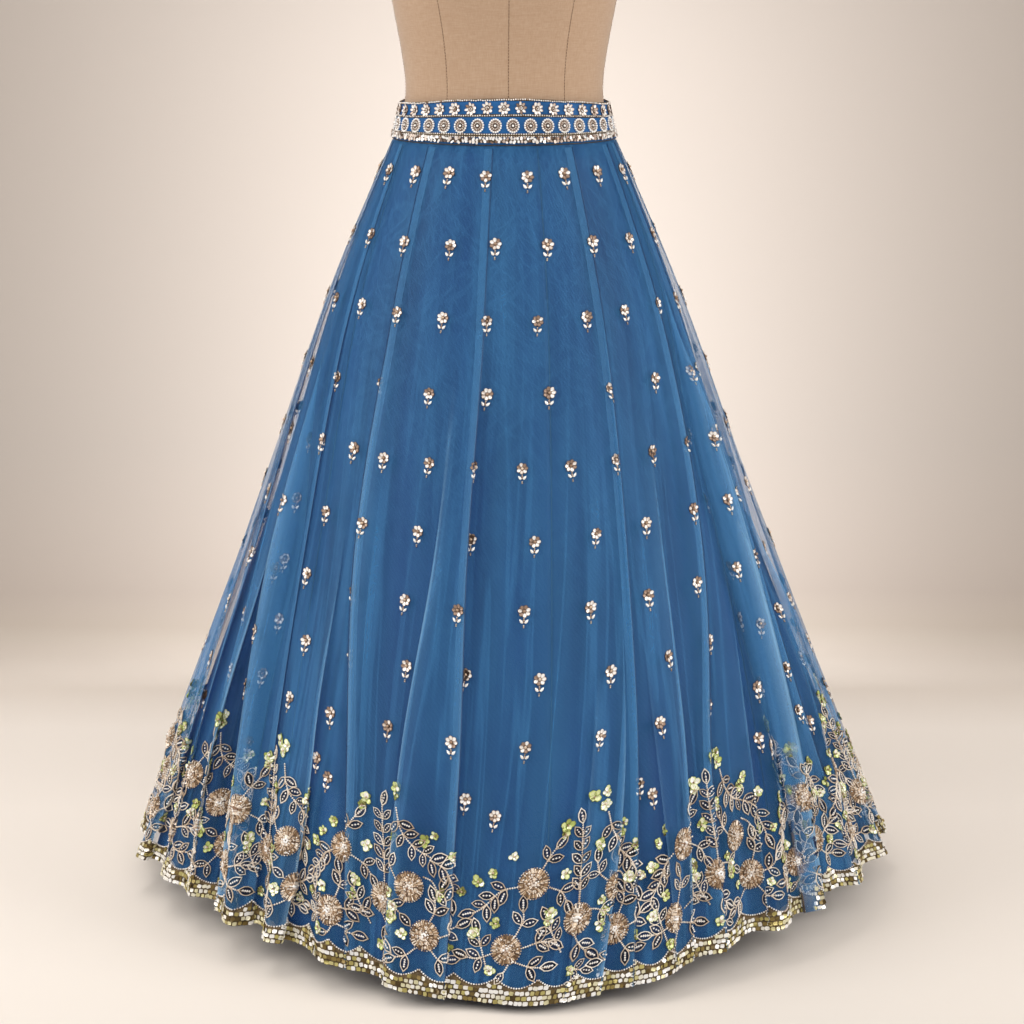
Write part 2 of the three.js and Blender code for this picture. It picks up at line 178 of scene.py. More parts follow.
def curve_through(table, x):
    """The table's columns after the first where the first is x, on a smooth curve through its rows."""
    rows = np.asarray(table, float)
    keys, values = rows[:, 0], rows[:, 1:]
    slopes = np.empty_like(values)
    slopes[1:-1] = (values[2:] - values[:-2]) / (keys[2:] - keys[:-2])[:, None]
    slopes[0] = (values[1] - values[0]) / (keys[1] - keys[0])
    slopes[-1] = (values[-1] - values[-2]) / (keys[-1] - keys[-2])
    x = np.asarray(x, float)
    i = np.clip(np.searchsorted(keys, x, side="right") - 1, 0, len(keys) - 2)
    span = keys[i + 1] - keys[i]
    s = np.clip((x - keys[i]) / span, 0, 1)[..., None]
    ends = values[i] * (1 + 2 * s) * (1 - s) ** 2 + values[i + 1] * (3 - 2 * s) * s**2
    bend = s * (1 - s) * span[..., None]
    return ends + bend * (slopes[i] * (1 - s) - slopes[i + 1] * s)


def unit_rows(vectors):
    """Each row's vector at length 1."""
    return vectors / np.linalg.norm(vectors, axis=-1)[..., None]


def wrapped(angle):
    """The angle between -180 and 180."""
    return (np.asarray(angle, float) + 180) % 360 - 180


def wrapped_once(angle):
    """The angle between -180 and 180, with both ends kept apart."""
    return np.where(angle > 180, angle - 360, np.where(angle < -180, angle + 360, angle))


def section(angle, sizes, pinch):
    """Flat points of a section with different depths in front and behind."""
    a = np.radians(angle)
    depth = np.where(np.cos(a) > 0, sizes[..., 1], sizes[..., 2])
    narrow = 1 - pinch * np.sin(2 * a) ** 2
    return np.stack([sizes[..., 0] * np.sin(a) * narrow, -depth * np.cos(a) * narrow], -1)


def fold_at(angle, drop):
    """How far the large folds stand out and lean round at the hem angles, at one drop."""
    folds = np.array(FOLDS)
    crests = folds[:, 0] + folds[:, 3] * (1 - drop)
    count = len(crests)
    ring = np.concatenate([crests - 360, crests, crests + 360])
    k = np.searchsorted(ring, angle, side="right") - 1
    share = (angle - ring[k]) / (ring[k + 1] - ring[k])
    blend = share * share * (3 - 2 * share)
    grown = np.maximum(drop - folds[:, 2], 0) / (1 - folds[:, 2])
    reach = folds[:, 1] * grown**FOLD_GROWTH
    lean = reach * np.where(np.arange(count) % 2 == 0, 1, -1)
    crest = (0.5 + 0.5 * np.cos(2 * np.pi * share)) ** FOLD_TIGHTNESS
    here, after = k % count, (k + 1) % count
    out = (reach[here] * (1 - blend) + reach[after] * blend) * crest
    over = (lean[here] * (1 - blend) + lean[after] * blend) * crest * FOLD_LEAN
    return out, over


def smoothstep(low, high, x):
    """From 0 at low to 1 at high, without a corner."""
    t = np.clip((x - low) / (high - low), 0, 1)
    return t * t * (3 - 2 * t)


def line_angles(drop):
    """Where the net's lines are at one drop, with the two next ones round the back."""
    course = np.column_stack([[0.25, 0.5, 0.75, 1.0], NET_LINES[:, [3, 2, 1, 0]].T])
    at = NET_LINES[:, 0]
    now = curve_through(course, [max(drop, 0.25)])[0]
    return (np.concatenate([[at[-1] - 360], at, [at[0] + 360]]),
        np.concatenate([[now[-1] - 360], now, [now[0] + 360]]))


def net_label(angle, drop):
    """The hem angle of the thread of net that is at an angle at one drop."""
    at, now = line_angles(drop)
    return float(np.interp(angle, now, at))


def pleat_at(label, drop):
    """How far the folds and seams stand out, lap over and thicken the net at one drop, with painted
    highlight on each crest and painted shade behind it.
    """
    out, over, gather_and_light = np.zeros((3, len(label)))
    for at, _, _, _, first, height, lapped, width in NET_LINES:
        grown = smoothstep(first, first + PLEAT_GROWTH, drop)
        across = wrapped(label - at) / width * np.sign(lapped)
        before = across < 0
        rise = 0.5 + 0.5 * np.cos(np.pi * np.clip(across / PLEAT_RISE, -1, 0))
        fall = 0.5 + 0.5 * np.cos(np.pi * np.clip(across / PLEAT_STEEP, 0, 1))
        deep = height >= DEEP_PLEAT
        behind = np.clip((across - PLEAT_STEEP) / (DEEP_RECOVERY if deep else PLEAT_RISE), 0, 1)
        settled = behind * behind * (3 - 2 * behind)
        dip = DEEP_DIP if deep else PLEAT_DIP
        sunk = dip * np.sin(np.pi * behind) * (across > 0)
        out += grown * height * (np.where(before, rise, fall) - sunk)
        over -= grown * lapped * np.where(before, 0, (1 - fall) * (1 - settled))
        strength = grown * min(height / PLEAT_FULL, 1.0)
        # painted light: the crest's edge and the rise before it are made denser and paler, and the net
        # just behind it thinner and darker, as light and shade would fall across the pleat
        edge = np.exp(-((across / EDGE_WIDTH) ** 2))
        bright = np.where(before, np.clip(1 + across / RISE_WIDTH, 0, 1) ** RISE_POWER, fall)
        dark = (across > 0) * (1 - fall) * (1 - settled)
        gather_and_light += strength * (EDGE_DENSE_AND_LIT * edge + RISE_DENSE_AND_LIT * bright - BEHIND_THIN_AND_SHADED * dark)
    return out, over, gather_and_light


def hollow_at(angles, drop):
    """How far the lining sinks into the hollows behind the deep pleats."""
    sunk = np.zeros(len(angles))
    for at, _, _, _, first, height, lapped, width in NET_LINES:
        if height >= DEEP_PLEAT:
            label = at + np.sign(lapped) * width * (PLEAT_STEEP + DEEP_RECOVERY / 2)
            middle = np.interp(label, *line_angles(drop))
            away = wrapped(angles - middle) / HOLLOW_WIDTH
            grown = smoothstep(first, first + HOLLOW_GROWTH, drop)
            sunk += HOLLOW_DEPTH * grown * np.exp(-(away**2))
    return sunk


def layer_grid(labels, rows, lining=False):
    """A skirt layer's points [row][column] for hem angles and drops, and how gathered it is, with its
    painted highlight and shade.
    """
    points = np.empty((len(rows), len(labels), 3))
    gathers_and_light = np.zeros(points.shape[:2])
    for r, drop in enumerate(rows):
        angles = labels if lining else wrapped_once(np.interp(labels, *line_angles(drop)))
        turned = curve_through(FALL, angles)[:, 0] * (1 - drop) + angles * drop
        sizes = np.repeat(curve_through(SKIRT_SECTIONS, [drop]), len(angles), 0)
        share = 1.0
        short = 0.0
        if lining:
            gap = curve_through(LINING_GAP, [drop])[0]
            sizes = sizes - np.array([gap[0], gap[1], gap[1]])
            share, short = LINING_FOLD, LINING_SHORT
        pinch = HEM_PINCH * drop
        flat = section(turned, sizes, pinch)
        ahead, behind = (section(turned + step, sizes, pinch) for step in (0.5, -0.5))
        along = unit_rows(ahead - behind)
        outward = np.stack([along[:, 1], -along[:, 0]], -1)
        out, over = fold_at(angles, drop)
        if lining:
            out = out - hollow_at(angles, drop) / share
        else:
            pleat_out, pleat_over, gathers_and_light[r] = pleat_at(labels, drop)
            out, over = out + pleat_out, over + pleat_over
        flat = flat + outward * (out * share)[:, None] + along * (over * share)[:, None]
        flat[:, 0] += HEM_SWING * drop**2
        hem = HEM_HEIGHT + short + HEM_LIFT * (1 - np.cos(np.radians(angles)) ** HEM_LEVEL)
        points[r, :, :2] = flat
        points[r, :, 2] = (BAND_BOTTOM - SEAM_GAP) * (1 - drop) + hem * drop
    return points * MM + AXIS, gathers_and_light


def outward_normals(points):
    """Unit normals of a closed ring of cloth, whose last column is its first again."""
    ring = np.concatenate([points[:, -2:-1], points, points[:, 1:2]], 1)
    across = ring[:, 2:] - ring[:, :-2]
    down = np.gradient(points, axis=0)
    return unit_rows(np.cross(down, across))


class Cloth:
    """A layer of the skirt as a grid, and where things sewn to it lie."""

    def __init__(self, angles, rows, lining=False):
        self.angles, self.rows = angles, rows
        self.points, self.gathers_and_light = layer_grid(angles, rows, lining)
        self.normals = outward_normals(self.points)
        steps = np.linalg.norm(np.diff(self.points, axis=1), axis=2)
        self.arcs = np.concatenate([np.zeros((len(rows), 1)), np.cumsum(steps, 1)], 1)
        falls = np.linalg.norm(np.diff(self.points, axis=0), axis=2)
        self.falls = np.concatenate([np.zeros((1, len(angles))), np.cumsum(falls, 0)], 0)

    def at(self, angle, drop, lift):
        """Points on the layer's faces, lifted off it."""
        angle, drop = wrapped(angle), np.clip(drop, 0, 1)
        c = np.clip(np.searchsorted(self.angles, angle, side="right") - 1, 0, len(self.angles) - 2)
        r = np.clip(np.searchsorted(self.rows, drop, side="right") - 1, 0, len(self.rows) - 2)
        x = ((angle - self.angles[c]) / (self.angles[c + 1] - self.angles[c]))[..., None]
        y = ((drop - self.rows[r]) / (self.rows[r + 1] - self.rows[r]))[..., None]

        def blend(grid):
            top = grid[r, c] * (1 - x) + grid[r, c + 1] * x
            low = grid[r + 1, c] * (1 - x) + grid[r + 1, c + 1] * x
            return top * (1 - y) + low * y

        return blend(self.points) + unit_rows(blend(self.normals)) * np.asarray(lift)[..., None]

    def row_at(self, drop):
        """The grid's row nearest to a drop."""
        return np.rint(np.interp(drop, self.rows, np.arange(len(self.rows)))).astype(int)

    def arc(self, angle, drop):
        """Distance round the layer, in metres, from its back edge, at one drop."""
        return np.interp(wrapped(angle), self.angles, self.arcs[self.row_at(drop)])

    def angle_at(self, arc, drop):
        """The hem angle at a distance round the layer, at one drop."""
        arcs = self.arcs[self.row_at(drop)]
        return np.interp(np.mod(arc, arcs[-1]), arcs, self.angles)

    def sewn(self, local, angle, drop):
        """Local points [copy][point] (across, up, out) laid on the layer at each copy's place."""
        angle, drop = np.broadcast_to(angle, len(local)), np.broadcast_to(drop, len(local))
        nearest = self.row_at(drop)
        angles = np.empty(local.shape[:2])
        for r in np.unique(nearest):
            mine = nearest == r
            arc = self.arc(angle[mine], self.rows[r])[:, None] + local[mine, :, 0]
            angles[mine] = self.angle_at(arc, self.rows[r])
        column = np.clip(np.searchsorted(self.angles, wrapped(angle)) - 1, 0, len(self.angles) - 1)
        drops = drop[:, None] - local[..., 1] / self.falls[-1, column][:, None]
        return self.at(angles, drops, local[..., 2])


def net_columns():
    """The net's columns: evenly round, and close together across every pleat and seam."""
    close = []
    for row in NET_LINES:
        places = SEAM_COLUMNS if row[0] in NET_SEAMS else PLEAT_COLUMNS
        close.append(row[0] + np.array(places) * row[7] * np.sign(row[6]))
    close = np.unique(np.round(wrapped(np.concatenate(close)), 4))
    even = np.linspace(-180, 180, round(360 / COLUMN_STEP) + 1)
    apart = np.abs(wrapped(even[:, None] - close[None])).min(1) > COLUMN_STEP * COLUMN_ROOM
    apart[0] = apart[-1] = True
    columns = np.unique(np.concatenate([even[apart], close]))
    return columns[np.concatenate([[True], np.diff(columns) > COLUMN_LEAST])]


net = Cloth(net_columns(), np.linspace(0, 1, NET_ROWS))
lining_angles = np.unique(np.concatenate([np.linspace(-180, 180, LINING_COLUMNS + 1), LINING_SEAMS]))
lining = Cloth(lining_angles, np.linspace(0, 1, LINING_ROWS), lining=True)
HEM_LENGTH = net.arcs[-1, -1]

# ---- materials --------------------------------------------------------------------------------
# the output that a link takes when a node itself is given; for any other kind, its first
MAIN_OUTPUT = {"TexCoord": "Object", "Attribute": "Fac", "TexWave": "Fac"}
NODE_PREFIX = "ShaderNode"
CLOTH_UV = {"uv_map": "cloth"}
MULTIPLY_ADD = {"operation": "MULTIPLY_ADD"}


def colour(code):
    """An sRGB hex colour as linear RGBA."""
    parts = [int(code[i : i + 2], 16) / 255 for i in (1, 3, 5)]
    return tuple(c / 12.92 if c <= 0.04045 else ((c + 0.055) / 1.055) ** 2.4 for c in parts) + (1,)


def node(tree, kind, settings=None, **sockets):
    """Adds a node; a socket's value is a number or colour, or a node or output to link."""
    made = tree.nodes.new(NODE_PREFIX + kind)
    for name, value in (settings or {}).items():
        setattr(made, name, value)
    for name, value in sockets.items():
        key = int(name[1:]) if name[0] == "_" else name.replace("_", " ")
        if isinstance(value, bpy.types.Node):
            value = value.outputs[MAIN_OUTPUT.get(value.bl_idname.removeprefix(NODE_PREFIX), 0)]
        if isinstance(value, bpy.types.NodeSocket):
            tree.links.new(value, made.inputs[key])
        else:
            made.inputs[key].default_value = value
    return made


def ramp(made, stops):
    """Sets a colour ramp's stops, as (place, colour code)."""
    band = made.color_ramp
    while len(band.elements) < len(stops):
        band.elements.new(0.5)
    for element, (place, code) in zip(band.elements, stops):
        element.position = place
        element.color = colour(code)
    return made


def new_tree(name):
    """A material with an empty node tree."""
    made = bpy.data.materials.new(name)
    made.use_nodes = True
    made.node_tree.nodes.clear()
    return made, made.node_tree


def drawn_noise(tree, where, stretch, scale=1.0, **sockets):
    """A noise drawn out along the cloth: stretch is its fineness across, down and out."""
    drawn = node(tree, "Mapping", Vector=where, Scale=stretch)
    return node(tree, "TexNoise", Vector=drawn, Scale=scale, **sockets)


def yarn_waves(tree, where, lean, **sockets):
    """Fine bands across the cloth at a lean in degrees, like its yarns."""
    turned = node(tree, "Mapping", Vector=where, Rotation=(0, 0, math.radians(lean)))
    bands = {"wave_type": "BANDS", "bands_direction": "X"}
    return node(tree, "TexWave", bands, Vector=turned, Detail=2.0, **sockets)


def thin_lines(tree, noise, width, code):
    """Lines of a colour on black, where a noise crosses its middle value."""
    stops = [(0.5 - width, "#000000"), (0.5, code), (0.5 + width, "#000000")]
    return ramp(node(tree, "ValToRGB", Fac=noise), stops)


def toned(name, stops, bump=None, **sockets):
    """A finish whose colour goes by each copy's own tone, from 0 to 1, along the stops."""
    made, tree = new_tree(name)
    tone = node(tree, "Attribute", {"attribute_name": "tone"})
    shade = ramp(node(tree, "ValToRGB", Fac=tone), stops)
    if bump:
        fineness, depth = bump
        grain = node(tree, "TexNoise", Vector=node(tree, "TexCoord"), Scale=fineness, Detail=1.0)
        sockets["Normal"] = node(tree, "Bump", Height=grain, Strength=0.5, Distance=depth)
    surface = node(tree, "BsdfPrincipled", Base_Color=shade, **sockets)
    node(tree, "OutputMaterial", Surface=surface)
    return made


# Nylon net, piece-dyed: it only tints what is behind it, so the lining shows deep blue through
# it; where it is gathered along a crest it is denser and painted paler, a painted highlight, and
# behind the crest it is painted thinner and darker, a painted shade. The cloth's "tone" says how
# gathered it is there, with that painted light, 0.4 where it hangs flat. Its 1 mm mesh is too fine
# to show, so its yarns are drawn as a faint 5 mm weave.
NET_CREASE_LEANS = (58, -52, 20)
# share of cover that each adds, with the heights in metres below the band between which it grows:
# creases towards the waist and fine gathers towards the hem, both partly denser net and partly
# painted highlight along fine folds, and, taken away, a painted shade that thins the net by the
# border so that more of the dark lining shows
NET_CREASES_AND_HIGHLIGHTS = dict(From_Min=-0.6, From_Max=-0.1, To_Min=0.05, To_Max=0.19)
NET_FINE_GATHERS_AND_HIGHLIGHTS = dict(From_Min=-0.1, From_Max=-0.6, To_Min=0.03, To_Max=0.18)
NET_HEM_SHADE = dict(From_Min=-0.66, From_Max=-0.88, To_Min=0.0, To_Max=0.07)


def nylon_net():
    made, tree = new_tree("nylon_net_dyed_blue")
    where = node(tree, "UVMap", CLOTH_UV)
    height = node(tree, "SeparateXYZ", Vector=where).outputs["Y"]
    yarns = yarn_waves(tree, where, 38, Scale=60.0, Distortion=3.0, Detail_Scale=1.5)
    clouds = drawn_noise(tree, where, (26.0, 3.0, 1.0), Detail=4.0)
    mixed = node(tree, "Math", MULTIPLY_ADD, _0=yarns, _1=0.02, _2=clouds)
    cover = node(tree, "MapRange", Value=mixed, From_Min=0.3, From_Max=0.72, To_Min=0.07, To_Max=0.29)
    # fine creases, where the net was folded away: thin lines, a little denser and partly painted
    # highlight
    crumple = node(tree, "TexNoise", Vector=where, Scale=26.0, Detail=3.0, Roughness=0.5, Distortion=0.8)
    crease_highlights = thin_lines(tree, crumple, 0.04, "#A0A0A0")
    for lean in NET_CREASE_LEANS:
        lying = {"Rotation": (0, 0, math.radians(lean)), "Scale": (0.03, 0.16, 1.0)}
        leaned = node(tree, "Mapping", {"vector_type": "TEXTURE"}, Vector=where, **lying)
        drawn_out = node(tree, "TexNoise", Vector=leaned, Scale=1.0, Detail=2.0)
        crease_and_highlight = thin_lines(tree, drawn_out, 0.025, "#D0D0D0")
        crease_highlights = node(tree, "Math", {"operation": "MAXIMUM"}, _0=crease_highlights, _1=crease_and_highlight)
    upper = node(tree, "MapRange", Value=height, **NET_CREASES_AND_HIGHLIGHTS)
    with_crease_highlights = node(tree, "Math", MULTIPLY_ADD, _0=crease_highlights, _1=upper, _2=cover)
    # fine gathers run down the cloth, as thin lines that are partly painted highlight
    fine = drawn_noise(tree, where, (34.0, 1.1, 1.0), Detail=3.0, Roughness=0.55, Distortion=0.5)
    lower = node(tree, "MapRange", Value=height, **NET_FINE_GATHERS_AND_HIGHLIGHTS)
    lines = thin_lines(tree, fine, 0.05, "#FFFFFF")
    with_fold_highlights = node(tree, "Math", MULTIPLY_ADD, _0=lines, _1=lower, _2=with_crease_highlights)
    # painted shade: the net is thinned towards the hem, so that more of the dark lining shows there
    hem_shade = node(tree, "MapRange", Value=height, **NET_HEM_SHADE)
    with_hem_shade = node(tree, "Math", {"operation": "SUBTRACT"}, _0=with_fold_highlights, _1=hem_shade)
    gathered_and_lit = node(tree, "Attribute", {"attribute_name": "tone"})
    clamped = {"use_clamp": True, **MULTIPLY_ADD}
    dense = node(tree, "Math", clamped, _0=gathered_and_lit, _1=0.36, _2=with_hem_shade)
    # painted highlight: the more gathered the net, the paler its colour
    shade = node(tree, "ValToRGB", Fac=gathered_and_lit)
    ramp(shade, [(0.0, "#2C6198"), (0.4, "#4182BA"), (1.0, "#8CBCE4")])
    surface = node(tree, "BsdfPrincipled", Base_Color=shade, Roughness=0.6, Specular_IOR_Level=0.2,
        Sheen_Weight=0.3, Sheen_Roughness=0.35, Sheen_Tint=colour("#A9D4F2"), Alpha=dense)
    node(tree, "OutputMaterial", Surface=surface)
    return made


# Polyester satin, woven and dyed: its colour is painted lighter and darker in soft streaks down the
# cloth, a painted gleam and shade of its folds, and a faint twill of 3 mm, coarser than the real
# 0.3 mm so that it shows.
def satin(name, code, twill):
    made, tree = new_tree(name)
    where = node(tree, "UVMap", CLOTH_UV)
    yarns = yarn_waves(tree, where, -35, Scale=twill, Distortion=4.0, Detail_Scale=2.0)
    clouds = drawn_noise(tree, where, (16.0, 3.0, 1.0), Detail=3.0)
    # painted gleam and shade: the colour runs from 0.72 to 1.3 times the dye along the streaks
    shade = node(tree, "ValToRGB", Fac=clouds)
    for element, place, share in zip(shade.color_ramp.elements, (0.3, 0.72), (0.72, 1.3)):
        element.position = place
        element.color = tuple(min(c * share, 1) for c in colour(code)[:3]) + (1,)
    relief = node(tree, "Bump", Height=yarns, Strength=0.1, Distance=0.0006)
    surface = node(tree, "BsdfPrincipled", Base_Color=shade, Roughness=0.5, Specular_IOR_Level=0.15,
        Normal=relief)
    node(tree, "OutputMaterial", Surface=surface)
    return made


# Linen, plain woven and stretched over padding: matt oatmeal with faint slubs in both
# directions. The 0.8 mm threads are drawn at 2 mm so that they show.
def linen_cloth():
    made, tree = new_tree("linen_plain_woven")
    where = node(tree, "TexCoord")
    down = drawn_noise(tree, where, (1.0, 1.0, 9.0), 90.0, Detail=3.0)
    across = drawn_noise(tree, where, (9.0, 9.0, 1.0), 90.0, Detail=3.0)
    crossed = node(tree, "Math", {"operation": "ADD"}, _0=down, _1=across)
    level = node(tree, "MapRange", Value=crossed, From_Min=0.6, From_Max=1.4)
    shade = node(tree, "ValToRGB", Fac=level)
    ramp(shade, [(0.0, "#AE9076"), (0.5, "#B59980"), (1.0, "#BCA28A")])
    relief = node(tree, "Bump", Height=crossed, Strength=0.3, Distance=0.0004)
    surface = node(tree, "BsdfPrincipled", Base_Color=shade, Roughness=0.85, Specular_IOR_Level=0.2,
        Sheen_Weight=0.35, Sheen_Roughness=0.5, Normal=relief)
    node(tree, "OutputMaterial", Surface=surface)
    return made


# Beech, turned and waxed: warm pale brown with rings 6 mm apart and a low gloss.
def turned_beech():
    made, tree = new_tree("beech_turned_waxed")
    grain = node(tree, "TexWave", {"wave_type": "RINGS"}, Vector=node(tree, "TexCoord"), Scale=26.0,
        Distortion=5.0, Detail=3.0, Detail_Scale=2.0)
    shade = ramp(node(tree, "ValToRGB", Fac=grain), [(0.0, "#8A5F3C"), (1.0, "#B58A60")])
    surface = node(tree, "BsdfPrincipled", Base_Color=shade, Roughness=0.42)
    node(tree, "OutputMaterial", Surface=surface)
    return made


# Steel, drawn and satin-lacquered: grey metal whose gloss varies a little with handling.
def stand_steel():
    made, tree = new_tree("steel_satin_lacquered")
    marks = node(tree, "TexNoise", Vector=node(tree, "TexCoord"), Scale=40.0, Detail=4.0)
    gloss = node(tree, "MapRange", Value=marks, To_Min=0.28, To_Max=0.48)
    surface = node(tree, "BsdfPrincipled", Base_Color=colour("#8E8E90"), Metallic=1.0, Roughness=gloss)
    node(tree, "OutputMaterial", Surface=surface)
    return made


net_finish = nylon_net()
lining_finish = satin("polyester_satin_dyed_blue", "#123168", 70.0)
band_finish = satin("silk_faced_band_blue", "#245C96", 110.0)
linen_finish = linen_cloth()
beech_finish = turned_beech()
steel_finish = stand_steel()
# Glass seed beads, lined with silver: small bright round points.
seed_finish = toned("glass_seed_beads_silver_lined",
    [(0.0, "#8D6E58"), (0.35, "#CDBCAE"), (0.7, "#F1ECE6"), (1.0, "#FFFFFF")], Metallic=0.15,
    Roughness=0.2)
# Gold-lined seed beads, a little duller than the silver ones.
gold_bead_finish = toned("glass_seed_beads_gold_lined",
    [(0.0, "#86664E"), (0.5, "#D0B59B"), (1.0, "#FAF1E6")], Metallic=0.2, Roughness=0.28)
# Cupped sequins, pressed from metallised film: silver-white to rose bronze. Each copy's random
# tone is partly its own foil and partly painted glint and shade for the light it catches, and its
# darker rim is partly the cut edge and partly painted shade.
petal_finish = toned("sequins_pressed_silver_and_rose",
    [(0.0, "#4E3D34"), (0.3, "#9A8171"), (0.6, "#DACBC0"), (0.85, "#F7F4F1"), (1.0, "#FFFFFF")],
    Metallic=0.2, Roughness=0.25)
# Bugle beads, cut glass lined with bronze: thin ribs whose random tones, up to near white, are
# partly their lining and partly a painted broken gleam.
bugle_finish = toned("glass_bugle_beads_bronze_lined",
    [(0.0, "#5A4534"), (0.3, "#A58869"), (0.6, "#D3B99B"), (1.0, "#FFF6EA")], Metallic=0.3, Roughness=0.3)
# Metal-wrapped cord, couched down: pink gold with fine twist marks.
cord_finish = toned("zari_cord_twisted_pink_gold", [(0.0, "#A8927C"), (0.5, "#DCCBB8"), (1.0, "#FBF3E8")],
    bump=(900.0, 0.0004), Metallic=0.15, Roughness=0.42)
# Stranded silk thread, stitched solid: a near-black navy inside the leaves.
ground_finish = toned("silk_thread_stitched_navy", [(0.0, "#0B1830"), (1.0, "#15305A")],
    bump=(1200.0, 0.0003), Roughness=0.55)
# Iridescent sequins, pressed from coated film: yellow-green through cream.
green_finish = toned("sequins_pressed_iridescent_green",
    [(0.0, "#76743E"), (0.3, "#B2C067"), (0.6, "#DFE6AC"), (0.85, "#F9F7E6"), (1.0, "#FFFFFF")],
    Metallic=0.2, Roughness=0.22)
# Flat sequins in rows along the hem: silver-white, bronze and yellow-green side by side; the
# near-white tones are partly painted glints.
hem_sequin_finish = toned("sequins_flat_mixed_foil",
    [(0.0, "#4E3F26"), (0.25, "#8A7644"), (0.45, "#BDB26E"), (0.6, "#E4DEB8"), (0.74, "#FAF7EE"),
        (1.0, "#FFFFFF")], Metallic=0.35, Roughness=0.22)
# Metal-thread tape, woven: the dull dark bronze ground under the hem's sequins.
tape_finish = toned("zari_tape_woven_bronze", [(0.0, "#3E301D"), (1.0, "#6E5A38")], bump=(700.0, 0.0005),
    Metallic=0.3, Roughness=0.5)
# Cotton sewing thread, twisted: dull brown stitches along the form's seams.
thread_finish = toned("cotton_thread_twisted_brown", [(0.0, "#5E4632"), (1.0, "#7A5E46")],
    bump=(1500.0, 0.0002), Roughness=0.8)
# Polyester thread and piping in the skirt's own dark blue.
blue_thread_finish = toned("polyester_thread_dark_blue", [(0.0, "#12294C"), (1.0, "#1D477C")],
    bump=(1500.0, 0.0002), Roughness=0.6)

# ---- meshes -----------------------------------------------------------------------------------


def added(name, data):
    """A new object in the scene."""
    made = bpy.data.objects.new(name, data)
    bpy.context.scene.collection.objects.link(made)
    return made


def mesh_piece(name, points, sides, corners, finish, slot, tones=None, uv=None, smooth=True):
    """A piece of the object from points, the faces' side counts and their corner numbers."""
    mesh = bpy.data.meshes.new(name)
    mesh.vertices.add(len(points))
    mesh.vertices.foreach_set("co", np.asarray(points, np.float32).ravel())
    mesh.loops.add(len(corners))
    mesh.loops.foreach_set("vertex_index", np.asarray(corners, np.int32))
    mesh.polygons.add(len(sides))
    starts = np.concatenate([[0], np.cumsum(sides)[:-1]])
    mesh.polygons.foreach_set("loop_start", starts.astype(np.int32))
    mesh.polygons.foreach_set("use_smooth", np.full(len(sides), smooth))
    if uv is not None:
        layer = mesh.uv_layers.new(name="cloth")
        layer.data.foreach_set("uv", np.asarray(uv, np.float32)[corners].ravel())
    if tones is not None:
        shade = mesh.attributes.new("tone", "FLOAT", "POINT")
        shade.data.foreach_set("value", np.asarray(tones, np.float32).ravel())
    mesh.update(calc_edges=True)
    mesh.validate()
    mesh.materials.append(finish)
    piece = added(name, mesh)
    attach(piece, "root")
    return piece


def grid_faces(rows, columns, ring=False, loop=False):
    """Side counts and corners of a grid's faces, seen from outside when columns go to +angle and
    rows down. A ring's last column meets its first, and a loop's last row its first."""
    r, c = np.meshgrid(np.arange(rows - (not loop)), np.arange(columns - (not ring)), indexing="ij")
    r2, c2 = (r + 1) % rows, (c + 1) % columns
    quads = np.stack([r * columns + c, r2 * columns + c, r2 * columns + c2, r * columns + c2], -1)
    return np.full(r.size, 4), quads.ravel()


def grid_piece(name, points, finish, slot, ring=False, **details):
    """A sheet from its grid of points [row][column]."""
    faces = grid_faces(*points.shape[:2], ring)
    return mesh_piece(name, points.reshape(-1, 3), *faces, finish, slot, **details)


def thickened(piece, wall):
    """Gives a sheet its wall, inwards, and applies it."""
    solid = piece.modifiers.new("wall", "SOLIDIFY")
    solid.thickness = wall
    solid.offset = -1.0
    start(piece)
    bpy.ops.object.modifier_apply(modifier=solid.name)
    piece.select_set(False)


def tube(path, radius, beside, sides=6, closed=True):
    """A tube along a path, as points, side counts and corners; beside points off the path."""
    ahead, behind = np.roll(path, -1, 0), np.roll(path, 1, 0)
    if not closed:
        ahead[-1], behind[0] = path[-1], path[0]
    along = unit_rows(ahead - behind)
    across = unit_rows(np.cross(along, beside))
    up = np.cross(across, along)
    turn = (np.arange(sides) * 2 * np.pi / sides)[None, :, None]
    ring = np.cos(turn) * across[:, None] + np.sin(turn) * up[:, None]
    points = (path[:, None] + ring * radius).reshape(-1, 3)
    side_counts, corners = grid_faces(len(path), sides, ring=True, loop=closed)
    if not closed:
        low = np.arange(sides)
        high = (len(path) - 1) * sides + low[::-1]
        side_counts = np.concatenate([side_counts, [sides, sides]])
        corners = np.concatenate([corners, low, high])
    return points, side_counts, corners


def start(piece=None):
    """Selects one piece to work on, or nothing before a primitive is added."""
    bpy.ops.object.select_all(action="DESELECT")
    if piece:
        bpy.context.view_layer.objects.active = piece
        piece.select_set(True)


def edit():
    """Edit mode, with all of the piece selected."""
    bpy.ops.object.mode_set(mode="EDIT")
    bpy.ops.mesh.select_all(action="SELECT")


def pick(kind, wanted):
    """In edit mode, selects only the vertices or faces that are wanted, by place and normal."""
    mesh = bmesh.from_edit_mesh(bpy.context.object.data)
    bpy.ops.mesh.select_all(action="DESELECT")
    for item in getattr(mesh, kind):
        place = item.co if kind == "verts" else item.calc_center_median()
        if wanted(place, item.normal):
            item.select_set(True)
    mesh.select_flush_mode()
    bmesh.update_edit_mesh(bpy.context.object.data)


def stretch(x, y, z=1.0, about=(0, 0, 0)):
    """Scales what is selected about a point."""
    bpy.ops.transform.resize(value=(x, y, z), center_override=about)


def lay_along_x():
    """Turns all of what stands along Z to lie along X."""
    bpy.ops.mesh.select_all(action="SELECT")
    bpy.ops.transform.rotate(value=math.pi / 2, orient_axis="Y", center_override=(0, 0, 0))


